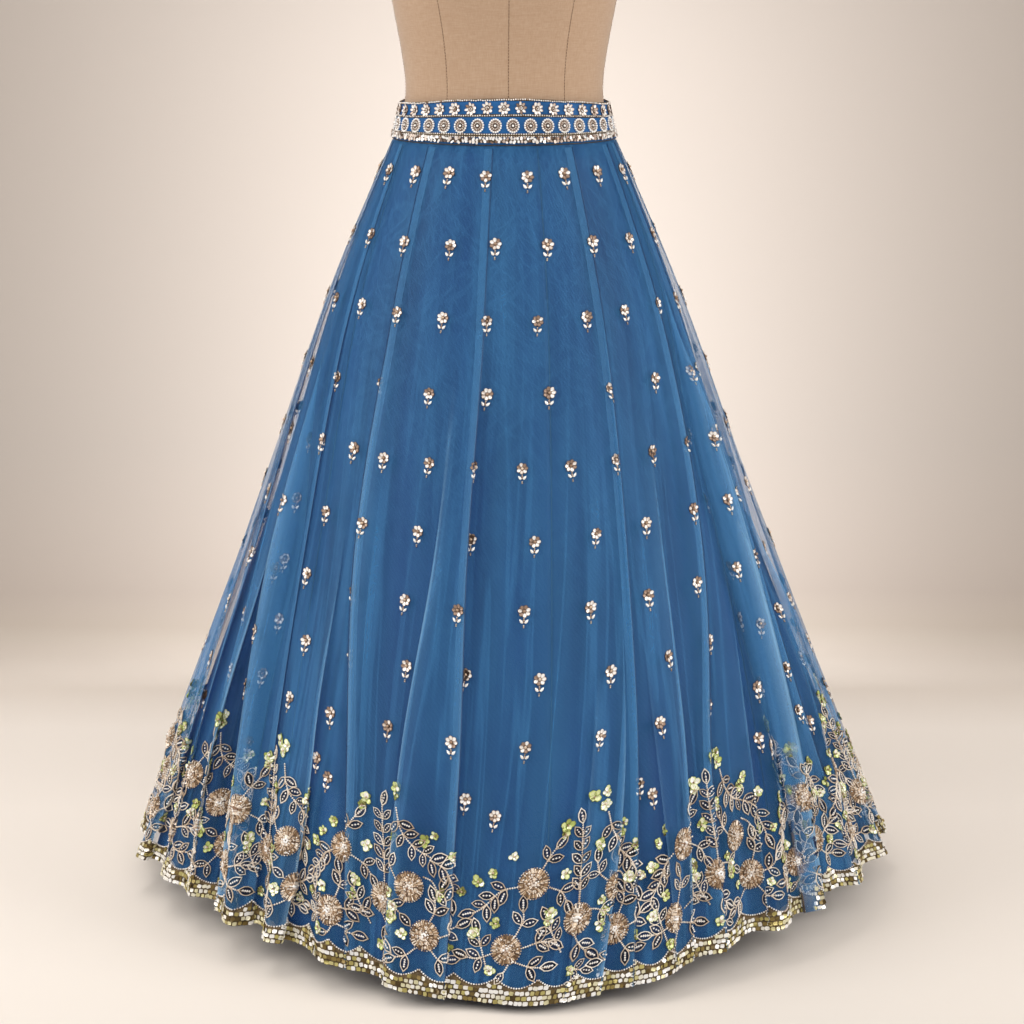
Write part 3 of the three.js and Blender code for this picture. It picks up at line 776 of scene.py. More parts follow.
def taken(shade=None):
    """The modelled unit as points, side counts, corners and each point's shade over its tone."""
    piece = bpy.context.object
    if piece.mode == "EDIT":
        bpy.ops.object.mode_set(mode="OBJECT")
    mesh = piece.data
    points = np.zeros(len(mesh.vertices) * 3)
    mesh.vertices.foreach_get("co", points)
    world = np.array(piece.matrix_world)
    points = points.reshape(-1, 3) @ world[:3, :3].T + world[:3, 3]
    sides = np.zeros(len(mesh.polygons), int)
    mesh.polygons.foreach_get("loop_total", sides)
    corners = np.zeros(len(mesh.loops), int)
    mesh.loops.foreach_get("vertex_index", corners)
    bpy.data.objects.remove(piece)
    bpy.data.meshes.remove(mesh)
    return points, sides, corners, shade(points) if shade else np.zeros(len(points))


# A faceted bead of radius 1.
start()
bpy.ops.mesh.primitive_ico_sphere_add(subdivisions=1, radius=1)
BEAD = taken()

# A rice bead of half length 1 along X, with eight facets.
start()
bpy.ops.mesh.primitive_cone_add(vertices=4, radius1=0.6, radius2=0, depth=1, location=(0, 0, 0.5))
edit()
pick("faces", lambda place, normal: normal.z < -0.9)
bpy.ops.mesh.extrude_region_move(TRANSFORM_OT_translate={"value": (0, 0, -1)})
bpy.ops.mesh.merge(type="CENTER")
lay_along_x()
RICE = taken()

# A cupped sequin of radius 1: a thin disc whose middle is pressed down, its rim darker, partly
# the cut edge and partly painted shade.
start()
bpy.ops.mesh.primitive_cylinder_add(vertices=7, radius=1, depth=0.2, location=(0, 0, 0.1))
edit()
pick("faces", lambda place, normal: normal.z > 0.9)
bpy.ops.mesh.inset(thickness=0.32)
bpy.ops.transform.translate(value=(0, 0, -0.16))
# the rim's points get a darker tone: partly the cut edge, partly painted shade
SEQUIN = taken(lambda p: -0.55 * (np.hypot(p[:, 0], p[:, 1]) > 0.9))

# A drop-shaped bead of half length 1 along X, pointed at +X.
start()
bpy.ops.mesh.primitive_uv_sphere_add(segments=6, ring_count=4, radius=1)
edit()
lay_along_x()
stretch(1, 0.5, 0.4)
pick("verts", lambda place, normal: 0.6 < place.x < 0.95)
stretch(1, 0.6, 0.6, about=(0.7, 0, 0))
DROP_BEAD = taken()

# A bugle bead of half length 1 along X, with a section of radius 1 in Y and Z.
start()
bpy.ops.mesh.primitive_cylinder_add(vertices=4, radius=1, depth=2)
edit()
lay_along_x()
BUGLE = taken()

# A flat square sequin with rounded corners, about 1 across. Its upper face is narrowed so that
# its rim catches light, and its lower half is given a darker tone, a painted shade at its edges.
start()
bpy.ops.mesh.primitive_cylinder_add(vertices=8, radius=0.5, depth=1, location=(0, 0, 0.5))
edit()
pick("verts", lambda place, normal: abs(place.x) > 0.2 and abs(place.y) > 0.2)
stretch(1.24, 1.24)
pick("verts", lambda place, normal: place.z > 0.5)
stretch(0.78, 0.78, about=(0, 0, 1))
# painted shade: the lower half's points get a darker tone
FLAT_SEQUIN = taken(lambda p: -0.2 * (p[:, 2] < 0.5))

# A leaf's outline cord: a ring drawn out to two points along X, half length 1, half width 0.5.
start()
bpy.ops.mesh.primitive_torus_add(major_segments=12, minor_segments=3, major_radius=0.8, minor_radius=0.12)
edit()
stretch(1.05, 0.6)
pick("verts", lambda place, normal: abs(place.x) > 0.6)
stretch(1.04, 0.74)
pick("verts", lambda place, normal: abs(place.x) > 0.8)
stretch(1.1, 0.55)
LEAF_CORD = taken()

# A leaf's stitched ground, a low mound inside the cord.
start()
bpy.ops.mesh.primitive_cylinder_add(vertices=8, radius=0.8, depth=0.05, location=(0, 0, 0.03))
edit()
stretch(1.15, 0.58)
pick("verts", lambda place, normal: abs(place.x) > 0.55)
stretch(1.0, 0.75)
LEAF_GROUND = taken()

# A round pad of radius 1 under a rosette, domed in rings so that it bends with the cloth.
start()
bpy.ops.mesh.primitive_cylinder_add(vertices=20, radius=1, depth=0.04, location=(0, 0, 0.02))
edit()
pick("faces", lambda place, normal: normal.z > 0.9)
for _ in range(4):
    bpy.ops.mesh.inset(thickness=0.2)
    bpy.ops.transform.translate(value=(0, 0, 0.025))
bpy.ops.mesh.merge(type="CENTER")
PAD = taken()


def placed(unit, x, y, z=0.0, turn=0.0, size=1.0, tilt=0.0):
    """A unit's points, scaled, tipped up about its own Y, turned in the plane, and moved."""
    x, y, z, turn, tilt = (
        v[:, None] for v in np.broadcast_arrays(*(np.atleast_1d(v) for v in (x, y, z, turn, tilt))))
    size = np.asarray(size, float)
    px, py, pz = np.moveaxis(unit[0][None] * (size.reshape(-1, 1, 3) if size.ndim else size), -1, 0)
    px, pz = px * np.cos(tilt) - pz * np.sin(tilt), px * np.sin(tilt) + pz * np.cos(tilt)
    c, s = np.cos(turn), np.sin(turn)
    return np.stack(np.broadcast_arrays(px * c - py * s + x, px * s + py * c + y, pz + z), -1)


def shades(mean, spread, count):
    """Random tones round a mean, between 0 and 1."""
    return np.clip(rng.normal(mean, spread, count), 0, 1)


def random_sizes(count, *ranges):
    """Random sizes of copies along X, Y and Z: each is a range, or one number for all."""
    columns = [rng.uniform(*r, count) if np.ndim(r) else np.full(count, r) for r in ranges]
    return np.stack(columns, -1)


def circle(count, radius, phase=0.0):
    """Places and directions of copies on a circle."""
    a = phase + np.arange(count) * 2 * np.pi / count
    return radius * np.cos(a), radius * np.sin(a), a


class Stitched:
    """Copies of units gathered for one piece, and what lays them on the cloth that carries it."""

    def __init__(self, laid=None):
        self.laid = laid
        self.points, self.sides, self.corners, self.tones, self.count = [], [], [], [], 0

    def add_part(self, points, sides, corners, tones):
        """Adds one part, such as a tube."""
        self.points.append(points)
        self.sides.append(sides)
        self.corners.append(corners + self.count)
        self.tones.append(np.broadcast_to(tones, len(points)))
        self.count += len(points)

    def add(self, unit, points, tones):
        """Adds copies [copy][point] of a unit, each with its tone."""
        copies, size = points.shape[:2]
        corners = unit[2] + np.arange(copies)[:, None] * size
        own = np.broadcast_to(tones, copies)[:, None] + unit[3]
        faces = np.tile(unit[1], copies), corners.ravel()
        self.add_part(points.reshape(-1, 3), *faces, np.clip(own, 0, 1).ravel())

    def sew(self, unit, at, across=0.0, up=0.0, lift=0.0, turn=0.0, size=1.0, tilt=0.0, tones=0.5,
        scale=1.0):
        """Sews copies of a unit on at places on the cloth; lengths are in scale millimetres."""
        copies = max(np.size(v) for v in (across, turn, *at))
        across = np.broadcast_to(across, copies)
        local = placed(unit, across, up, lift, turn, size, tilt) * (scale * MM)
        self.add(unit, self.laid(local, *at), tones)

    def piece(self, name, finish, slot, **details):
        """Makes the piece."""
        parts = (np.concatenate(v) for v in (self.points, self.sides, self.corners))
        tones = np.concatenate(self.tones)
        return mesh_piece(name, *parts, finish, slot, tones=tones, **details)


# ---- net and lining ---------------------------------------------------------------------------
LINING_WALL = 0.0008
NET_HANGS_FLAT = 0.4  # tone of net that isn't gathered
NET_GATHER_AND_LIGHT_TONE = 0.55  # how much of it a full gather adds


def skirt_panels(cloth, seams, stem, node_stem, finish, slot):
    """A layer's panels, one piece each. The grid's back edge at 180 falls inside the last."""
    marks = [int(np.argmin(np.abs(cloth.angles - seam))) for seam in seams]
    last = len(cloth.angles) - 1
    round_middle = cloth.arcs[len(cloth.rows) // 2]
    for k, first in enumerate(marks):
        if k + 1 < len(marks):
            columns = np.arange(first, marks[k + 1] + 1)
        else:
            columns = np.concatenate([np.arange(first, last), np.arange(0, marks[0] + 1)])
        points = cloth.points[:, columns]
        middle = round_middle[columns] + np.where(columns < first, round_middle[-1], 0)
        uv = np.stack(np.broadcast_arrays(middle, -cloth.falls[:, columns]), -1).reshape(-1, 2)
        # tone: how gathered the net is, with the painted highlight on the crests and painted shade behind
        # them
        tones = np.clip(NET_HANGS_FLAT + NET_GATHER_AND_LIGHT_TONE * cloth.gathers_and_light[:, columns], 0, 1)
        piece = grid_piece(f"{stem}_{k + 1}", points, finish, slot, tones=tones, uv=uv)
        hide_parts(f"{node_stem}_{k + 1}")
        if cloth is lining:
            thickened(piece, LINING_WALL)


skirt_panels(net, NET_SEAMS, "net_gore", "net_panel", net_finish, "net")
skirt_panels(lining, LINING_SEAMS, "lining_gore", "lining_panel", lining_finish, "lining_cloth")

# The net's seam allowances: at each seam a strip of the net, folded back against its inside.
SEWN_FROM, SEWN_TO = 0.004, 0.985  # drops between which the seams are sewn
ALLOWANCE = 0.010
ALLOWANCE_COLUMNS = 4
ALLOWANCE_TONE = 0.5
ALLOWANCE_LIFT = -0.0006
seam_rows = np.linspace(SEWN_FROM, SEWN_TO, NET_ROWS)
allowances, allowance_uv = Stitched(), []
for k, row in enumerate(NET_SEAM_LINES):
    across = np.sort(-np.sign(row[6]) * np.linspace(0, ALLOWANCE, ALLOWANCE_COLUMNS))
    lines = []
    for drop in seam_rows:
        labels = net.angle_at(net.arc(row[0], drop) + across, drop)
        lines.append(net.at(labels, drop, ALLOWANCE_LIFT))
    faces = grid_faces(NET_ROWS, ALLOWANCE_COLUMNS)
    allowances.add_part(np.concatenate(lines), *faces, ALLOWANCE_TONE)
    allowance_uv.append(np.stack(np.meshgrid(across + k, -seam_rows), -1).reshape(-1, 2))
seam_strips = allowances.piece("net_seam_allowances", net_finish, "net", uv=np.concatenate(allowance_uv))


def seam_thread(name, cloth, seams, slot, radius, lift, tone):
    """Lines of stitching down a layer's seams."""
    stitched = Stitched()
    drops = np.linspace(SEWN_FROM, SEWN_TO, len(cloth.rows))
    for seam in seams:
        path = cloth.at(float(seam), drops, lift)
        outward = cloth.at(float(seam), drops, lift + 0.01) - path
        stitched.add_part(*tube(path, radius, outward, sides=3, closed=False), tone)
    stitched.piece(name, blue_thread_finish, slot)


seam_thread("net_seam_stitches", net, NET_SEAMS, "net", 0.0005, 0.0003, 0.5)
seam_thread("lining_seam_stitches", lining, LINING_SEAMS, "lining_cloth", 0.0007, 0.0002, 0.0)

# ---- waistband --------------------------------------------------------------------------------
BAND_WALL = 0.0028
BAND_COLUMNS = 240
BAND_ROWS = 9


def band_height(angle):
    """The band's own height, in metres."""
    return (BAND_HEIGHT - BAND_SIDE_DIP * np.sin(np.radians(angle)) ** 2) * MM


def band_at(angle, up, lift=0.0):
    """Points on the band's outer face: up is metres above its lower edge."""
    angle, up = np.broadcast_arrays(np.asarray(angle, float), np.asarray(up, float))
    share = up / band_height(angle)
    seam = np.array(SKIRT_SECTIONS[0][1:]) + BAND_PROUD
    taper = np.array([BAND_TAPER_SIDE, BAND_TAPER_DEPTH, BAND_TAPER_DEPTH])
    sizes = seam - taper * share[..., None] + np.asarray(lift)[..., None] / MM
    flat = section(angle, sizes, 0.0)
    height = BAND_BOTTOM + up / MM
    return np.concatenate([flat, height[..., None]], -1) * MM + AXIS


BAND_FINE = np.linspace(-180, 180, 1441)
BAND_MEASURED_AT = 0.025  # metres above the lower edge
band_line = band_at(BAND_FINE, BAND_MEASURED_AT)
band_arcs = np.concatenate([[0], np.cumsum(np.linalg.norm(np.diff(band_line, axis=0), axis=1))])


def on_band(local, angle, up):
    """Local points [copy][point] (across, up, out) laid on the band at each copy's place."""
    angle, up = np.broadcast_to(angle, len(local)), np.broadcast_to(up, len(local))
    begin = np.interp(wrapped(angle), BAND_FINE, band_arcs)
    angles = np.interp(np.mod(begin[:, None] + local[..., 0], band_arcs[-1]), band_arcs, BAND_FINE)
    return band_at(angles, up[:, None] + local[..., 1], local[..., 2])


def band_ring(pitch):
    """Angles evenly spaced round the band, about a pitch in millimetres apart."""
    count = int(round(band_arcs[-1] / (pitch * MM)))
    return np.interp(band_arcs[-1] * np.arange(count) / count, band_arcs, BAND_FINE)


around = np.linspace(-180, 180, BAND_COLUMNS + 1)[:-1]
ups = np.linspace(1, 0, BAND_ROWS)
u, v = np.meshgrid(np.linspace(0, band_arcs[-1], BAND_COLUMNS), ups * BAND_HEIGHT * MM)
band_shell = grid_piece("band_shell", np.array([band_at(around, up * band_height(around)) for up in ups]),
    band_finish, "waistband_cloth", ring=True, uv=np.stack([u.ravel(), v.ravel()], -1))
thickened(band_shell, BAND_WALL)
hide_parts("waistband")

# Lines of seed beads: share of the band's height, radius, tone, and how far the line wavers. The
# first runs along the top edge, the next under the flowers, and two over the sequins.
BAND_LINES = [
    (0.987, 1.15, 0.75, 0.5), (0.650, 1.05, 0.8, 0.3), (0.238, 1.05, 0.8, 0.2),
    (0.186, 1.05, 0.6, 0.2),
]
BAND_BEAD_PITCH = 2.9
WAVES_ROUND = 9
band_beads = Stitched(on_band)
for share, size, tone, waver in BAND_LINES:
    angles = band_ring(BAND_BEAD_PITCH)
    heights = band_height(angles) * share + rng.normal(0, waver * 0.4 * MM, len(angles))
    heights += waver * MM * np.sin(np.radians(angles) * WAVES_ROUND)
    tones = shades(tone, 0.25, len(angles))
    band_beads.sew(BEAD, (angles, heights), lift=0.8, size=size, tones=tones)
band_beads.piece("band_bead_lines", seed_finish, "embroidery")

# Dark bronze cords under the lines of beads and the rows of sequins, partly painted shade round
# them, and one round the band's lower edge: share of the band's height, how far its middle stands
# off the band, and its radius.
BAND_CORDS = [
    (0.985, -0.6, 1.5), (0.645, -0.5, 1.9), (0.212, -0.9, 2.7), (0.09, -1.7, 3.2), (0.0, 0.1, 0.5),
]
# a dark tone: partly the bronze cord, partly painted shade round the beads and sequins
CORD_TONE = 0.3
band_cords = Stitched()
for share, lift, radius in BAND_CORDS:
    path = band_at(around, band_height(around) * share, lift * MM)
    band_cords.add_part(*tube(path, radius * MM, np.array([0, 0, 1.0])), CORD_TONE)
band_cords.piece("band_cords", tape_finish, "waistband_cloth")

# The upper row: flowers of eight cupped petals round a dark stone, on a near-black pad that shows
# between them, partly painted shade.
FLOWER_PITCH = 20.6
FLOWER_SHARE = 0.80
flower_petals, flower_beads = Stitched(on_band), Stitched(on_band)
for angle in band_ring(FLOWER_PITCH):
    at = angle, band_height(angle) * FLOWER_SHARE + rng.normal(0, 0.3 * MM)
    # partly painted shade: a near-black pad behind the petals
    flower_petals.sew(PAD, at, size=(5.6, 6.0, 6), tones=0.05)
    x, y, turn = circle(8, 4.7, rng.uniform(0, 1))
    size = random_sizes(8, (2.6, 3.4), (1.6, 2.3), 2.6)
    # the petals' tones: partly their own silver and bronze, partly painted glint and shade
    flower_petals.sew(SEQUIN, at, x, y * 1.1, 0.9, turn, size, 0.3, shades(0.88, 0.22, 8))
    x, y, _ = circle(5, 1.5, rng.uniform(0, 1))
    flower_beads.sew(BEAD, at, x, y, 1.6, size=0.95, tones=shades(0.45, 0.35, 5))
# The lower row: upright oval medallions on dark pads, partly painted shade between the beads: a
# ring of large white beads, one of small bronze ones and one of white, then a dark pad, painted
# shade, round a bright stone.
MEDALLION_PITCH = 21.2
MEDALLION_SHARE = 0.425
MEDALLION_TALL = 1.1
# how many beads, ring's radius, bead's radius, height off the band, tone
MEDALLION_RINGS = [
    (17, 6.9, 1.4, 1.1, 1.0), (13, 5.0, 0.8, 1.3, 0.2), (11, 3.6, 0.85, 1.5, 0.6),
    (1, 0.0, 1.6, 1.8, 1.0),
]
for angle in band_ring(MEDALLION_PITCH):
    at = angle, band_height(angle) * MEDALLION_SHARE
    # partly painted shade: a dark pad behind each medallion's beads, and a darker one round its stone
    flower_petals.sew(PAD, at, size=(6.8, 6.8 * MEDALLION_TALL, 6), tones=0.25)
    flower_petals.sew(PAD, at, lift=0.8, size=(2.7, 2.9, 4), tones=0.0)
    for count, ring, radius, lift, tone in MEDALLION_RINGS:
        x, y, _ = circle(count, ring, rng.uniform(0, 1))
        tones = shades(tone, 0.14, count)
        flower_beads.sew(BEAD, at, x, y * MEDALLION_TALL, lift, size=radius, tones=tones)
flower_petals.piece("band_flower_petals", petal_finish, "embroidery")
flower_beads.piece("band_flower_beads", seed_finish, "embroidery")

# The lower edge: rows of sequins, white ones among silver and bronze (their tones partly painted
# glints), with the dark cords, partly painted shade, showing between them.
# height above the edge, distance between sequins, and how far the row is moved along
BAND_SEQUIN_ROWS = [(7.6, 4.0, 0.0), (4.2, 4.3, 1.4)]
band_sequins = Stitched(on_band)
for up, step, phase in BAND_SEQUIN_ROWS:
    angles = band_ring(step)
    count = len(angles)
    band_sequins.sew(FLAT_SEQUIN, (angles, up * MM),
        size=random_sizes(count, (2.0, 3.8), (2.6, 4.8), 0.9),
        across=phase + rng.uniform(-0.6, 0.6, count), up=rng.uniform(-0.9, 0.9, count), lift=1.8,
        turn=rng.normal(0, 0.7, count), tilt=rng.normal(0.0, 0.22, count),
        tones=rng.beta(1.0, 0.6, count))
band_sequins.piece("band_sequins", petal_finish, "embroidery", smooth=False)

# ---- sprigs over the net ----------------------------------------------------------------------
# drop of the row, how many go round, and the hem angle of the one nearest the middle of the front
SPRIG_ROWS = [
    (0.0432, 18, 0.2), (0.1275, 18, 4.0), (0.2162, 22, 1.4), (0.3057, 22, 3.7),
    (0.3921, 34, -1.6), (0.4768, 31, 0.6), (0.5608, 32, -0.9), (0.6384, 32, 1.6),
    (0.7132, 33, -0.1),
]
SPRIG_LEAN = 0.07  # radians by which sprigs stand off straight
SPRIG_ASTRAY, SPRIG_ASTRAY_DOWN = 0.0016, 0.0014  # and how far off their rows' places they are
FLOWER_UP = 5.6  # millimetres from a sprig's middle up to its flower's
SILVER_SHARE, SILVER_TONE = 0.35, 0.3  # share of petals that are of dull silver
SPRIG_PETAL, SPRIG_SHADE_DISC, SPRIG_LEAF = (2.9, 2.4, 2.6), (6.9, 6.9, 1), (3.1, 3.4, 2.6)
SPRIG_BEADS = np.array([-2.6, -4.5, -6.4, -10.4, -12.3])  # their heights: stem, then tail


def on_net(local, angle, drop, lean):
    """Local points laid on the net at one place, leaned over there."""
    c, s = math.cos(lean), math.sin(lean)
    x, y = local[..., 0], local[..., 1]
    leaned = np.stack([x * c - y * s, x * s + y * c, local[..., 2]], -1)
    return net.sewn(leaned, angle, drop)


sprig_petals, sprig_beads, sprig_drops = Stitched(on_net), Stitched(on_net), Stitched(on_net)


def sprig(angle, drop, lean, size):
    """One sprig: a seven-petalled flower on a dark disc of painted shade, a beaded stem, two leaves and a
    tail.
    """
    at = angle, drop, lean
    x, y, turn = circle(7, 4.7, rng.uniform(0, 1))
    tones = np.where(rng.random(7) < SILVER_SHARE, SILVER_TONE, shades(0.92, 0.13, 7))
    up = y + FLOWER_UP
    # the petals' tones: partly their own silver and bronze, partly painted glint and shade
    sprig_petals.sew(SEQUIN, at, x, up, 0.5, turn, SPRIG_PETAL, 0.24, tones, scale=size)
    # painted shade: a near-black sequin behind the flower, showing round its petals
    sprig_petals.sew(SEQUIN, at, 0, FLOWER_UP, 0.1, size=SPRIG_SHADE_DISC, tones=0.1, scale=size)
    tones = rng.uniform(0.1, 0.7, 1)
    sprig_beads.sew(BEAD, at, 0, FLOWER_UP, 1.5, size=1.8, tones=tones, scale=size)
    tones = rng.uniform(0.1, 0.6, len(SPRIG_BEADS))
    sprig_beads.sew(BEAD, at, 0 * SPRIG_BEADS, SPRIG_BEADS, 0.8, tones=tones, scale=size)
    turn, tones = np.radians([128, 52]), rng.uniform(0.75, 1.0, 2)
    sprig_drops.sew(DROP_BEAD, at, [-3, 3], -5.6, 1, turn, SPRIG_LEAF, tones=tones, scale=size)


for drop, count, front in SPRIG_ROWS:
    whole = net.arcs[net.row_at(drop), -1]
    begin = net.arc(net_label(front, drop), drop)
    for k in range(count):
        angle = net.angle_at(begin + whole * k / count + rng.normal(0, SPRIG_ASTRAY), drop)
        near = drop + rng.normal(0, SPRIG_ASTRAY_DOWN)
        sprig(angle, near, rng.normal(0, SPRIG_LEAN), rng.uniform(0.95, 1.08))

# ---- hem border -------------------------------------------------------------------------------
# The border repeats round the hem. One repeat is laid out in millimetres, 240 across from its
# left end, and up from the hem; it is then fitted to its share of the hem.
REPEATS = 15
DRAWN_REPEAT = 240
REPEAT = HEM_LENGTH / MM / REPEATS
TALL_SPRAY_X = 116
TALL_SPRAY_ANGLE = -20.8  # hem angle at which one of the tall sprays stands
border_origin = net.arc(TALL_SPRAY_ANGLE, 1.0) / MM - TALL_SPRAY_X * REPEAT / DRAWN_REPEAT
hem_arcs = net.arcs[-1] / MM
hem_fall = net.falls[-1] / MM


def border_place(x, y):
    """Hem angle and drop of border places, in millimetres along the hem and up from it."""
    arc = np.mod(border_origin + np.asarray(x, float), hem_arcs[-1])
    angle = np.interp(arc, hem_arcs, net.angles)
    return angle, 1 - np.asarray(y, float) / np.interp(angle, net.angles, hem_fall)


def on_border(local, x, y):
    """Local points [copy][point] laid on the net at border places."""
    return net.sewn(local, *border_place(x, y))


rosette_bugles, rosette_pads, rosette_stones, leaf_cords, leaf_grounds = (
    Stitched(on_border) for _ in range(5))
leaf_beads, stem_beads, green_flowers = (Stitched(on_border) for _ in range(3))

# rings of bugles in a rosette: how many, from and to which share of its radius, lift, thickness
ROSETTE_RINGS = [
    (46, 0.70, 1.00, 0.05, 0.044), (34, 0.42, 0.69, 0.12, 0.044), (18, 0.20, 0.41, 0.17, 0.050),
]
ROSETTE_RIMS = [(34, 1.02, 0.06), (16, 0.57, 0.24)]  # rings of rice beads: count, radius, lift
# rings of crystals at its middle: how many, ring's radius, crystal's radius, lift
ROSETTE_CRYSTALS = [(9, 0.29, 0.1, 0.18), (5, 0.13, 0.11, 0.26)]
ROSETTE_PETALS = 9
PETAL_DEPTH = 0.1  # how far its edge comes in between petals, as a share of its radius
RIM_BEAD = (1.3, 1.5, 1.5)
STRAY_BEADS = 18  # beads sewn here and there over a rosette's bugles


def rosette(x, y, radius):
    """Three rings of radial bugle beads, rims of rice beads, a heap of crystals, stray beads."""
    at = x, y
    # partly painted shade: a dark pad under the bugles, showing in the gaps between them
    rosette_pads.sew(PAD, at, size=(0.97, 0.97, 0.6), tones=0.2, scale=radius)
    phase = rng.uniform(0, 1)
    for count, near, far, lift, thick in ROSETTE_RINGS:
        a = circle(count, 1, phase)[2] + rng.normal(0, 0.04, count)
        scallop = 1 - PETAL_DEPTH * np.abs(np.cos(a * ROSETTE_PETALS / 2)) ** 3
        scallop *= rng.normal(1, 0.03, count)
        middle, half = (near + far * scallop) / 2, (far * scallop - near) / 2
        size = np.stack(np.broadcast_arrays(half, thick, thick), -1)
        # the bugles' random tones: partly their lining, partly painted gleam
        across, up, tones = middle * np.cos(a), middle * np.sin(a), rng.beta(1.1, 0.8, count)
        rosette_bugles.sew(BUGLE, at, across, up, lift + thick, a, size, tones=tones, scale=radius)
    for count, ring, lift in ROSETTE_RIMS:
        across, up, a = circle(count, ring * radius, phase)
        tones = shades(0.55, 0.35, count)
        turn = a + np.pi / 2
        stem_beads.sew(RICE, at, across, up, lift * radius, turn, RIM_BEAD, tones=tones)
    for count, ring, size, lift in ROSETTE_CRYSTALS:
        across, up, _ = circle(count, ring, phase)
        tones = shades(0.7, 0.35, count)
        rosette_stones.sew(BEAD, at, across, up, lift, size=size, tones=tones, scale=radius)
    a, ring = rng.uniform(0, 2 * np.pi, STRAY_BEADS), rng.uniform(0.36, 0.96, STRAY_BEADS)
    across, up, tones = ring * np.cos(a), ring * np.sin(a), rng.uniform(0.3, 1.0, STRAY_BEADS)
    rosette_stones.sew(BEAD, at, across, up, 0.17, size=0.065, tones=tones, scale=radius)


LONG_LEAF = 19  # millimetres from which a leaf has four beads and not three
LEAF_BEAD = (0.17, 0.24, 0.22)  # as shares of the leaf's half length


def leaf(x, y, turn, length):
    """A leaf whose stem end is at the place: outline cord, dark ground, a row of white beads."""
    half = length / 2
    ahead, aside = math.cos(turn), math.sin(turn)
    at = x + half * ahead, y + half * aside
    tones = rng.uniform(0.1, 1)
    leaf_cords.sew(LEAF_CORD, at, lift=0.12, turn=turn, tones=tones, scale=half)
    leaf_grounds.sew(LEAF_GROUND, at, turn=turn, tones=rng.uniform(0, 1), scale=half)
    along = np.linspace(-0.4, 0.4, 4 if length > LONG_LEAF else 3)
    across, up, tones = along * ahead, along * aside, rng.uniform(0.75, 1.0, len(along))
    leaf_beads.sew(RICE, at, across, up, 0.16, turn, LEAF_BEAD, tones=tones, scale=half)


def path_points(knots, step):
    """Points a step apart on a smooth curve through the knots, and the directions there."""
    knots = np.asarray(knots, float)
    keys = np.arange(len(knots))
    fine = curve_through(np.column_stack([keys, knots]), np.linspace(0, len(knots) - 1, 200))
    arcs = np.concatenate([[0], np.cumsum(np.linalg.norm(np.diff(fine, axis=0), axis=1))])
    at = np.arange(0, arcs[-1] + 0.01, step)
    points = np.stack([np.interp(at, arcs, fine[:, i]) for i in (0, 1)], -1)
    slope = np.gradient(fine, axis=0)
    turn = np.arctan2(np.interp(at, arcs, slope[:, 1]), np.interp(at, arcs, slope[:, 0]))
    return points, turn


STEM_BEAD_STEP = 2.6
STEM_BEAD = (1.5, 2.4, 2.0)
TIP_SHORTER = 0.15  # how much shorter the leaves are by a spray's tip


def spray(knots, step, length, spread, first, tip):
    """A couched stem of seed beads with pairs of leaves, a little shorter towards its tip."""
    points, turn = path_points(knots, STEM_BEAD_STEP)
    at, tones = (points[:, 0], points[:, 1]), shades(0.9, 0.2, len(points))
    stem_beads.sew(RICE, at, lift=0.9, turn=turn, size=STEM_BEAD, tones=tones)
    points, turn = path_points(knots, step)
    for i, place in enumerate(points):
        share = i / max(len(points) - 1, 1)
        if share < first or (tip and i == len(points) - 1):
            continue
        for side in (-1, 1):
            lean = side * spread * rng.uniform(0.85, 1.15)
            size = length * rng.uniform(0.9, 1.08) * (1 - TIP_SHORTER * share)
            leaf(*place, turn[i] + lean, size)
    if tip:
        leaf(*points[-1], turn[-1] + rng.normal(0, 0.12), length)


CLUSTER_SIZE = 1.3
CREAM, WHITE, YELLOW_GREEN = 0.45, 0.7, 1.0


def cluster(x, y, radius):
    """A small uneven flower of cream, white or yellow-green sequins round a bead."""
    radius = radius * CLUSTER_SIZE
    count = rng.integers(5, 9)
    across, up, turn = circle(count, 0.6, rng.uniform(0, 6))
    across, up = across * rng.uniform(0.4, 1.25, count), up * rng.uniform(0.4, 1.35, count)
    wide = rng.uniform(0.32, 0.62, count)
    size = np.stack([wide, wide * 0.85, np.full(count, 0.5)], -1)
    lift, tilt = rng.uniform(0.4, 1.3, count) / radius, rng.uniform(0.05, 0.5, count)
    tones = shades(rng.choice([CREAM, WHITE, YELLOW_GREEN], p=[0.4, 0.3, 0.3]), 0.28, count)
    green_flowers.sew(SEQUIN, (x, y), across, up, lift, turn, size, tilt, tones, scale=radius)
    stem_beads.sew(BEAD, (x, y), lift=1.7, size=1.4, tones=rng.uniform(0, 0.7, 1))


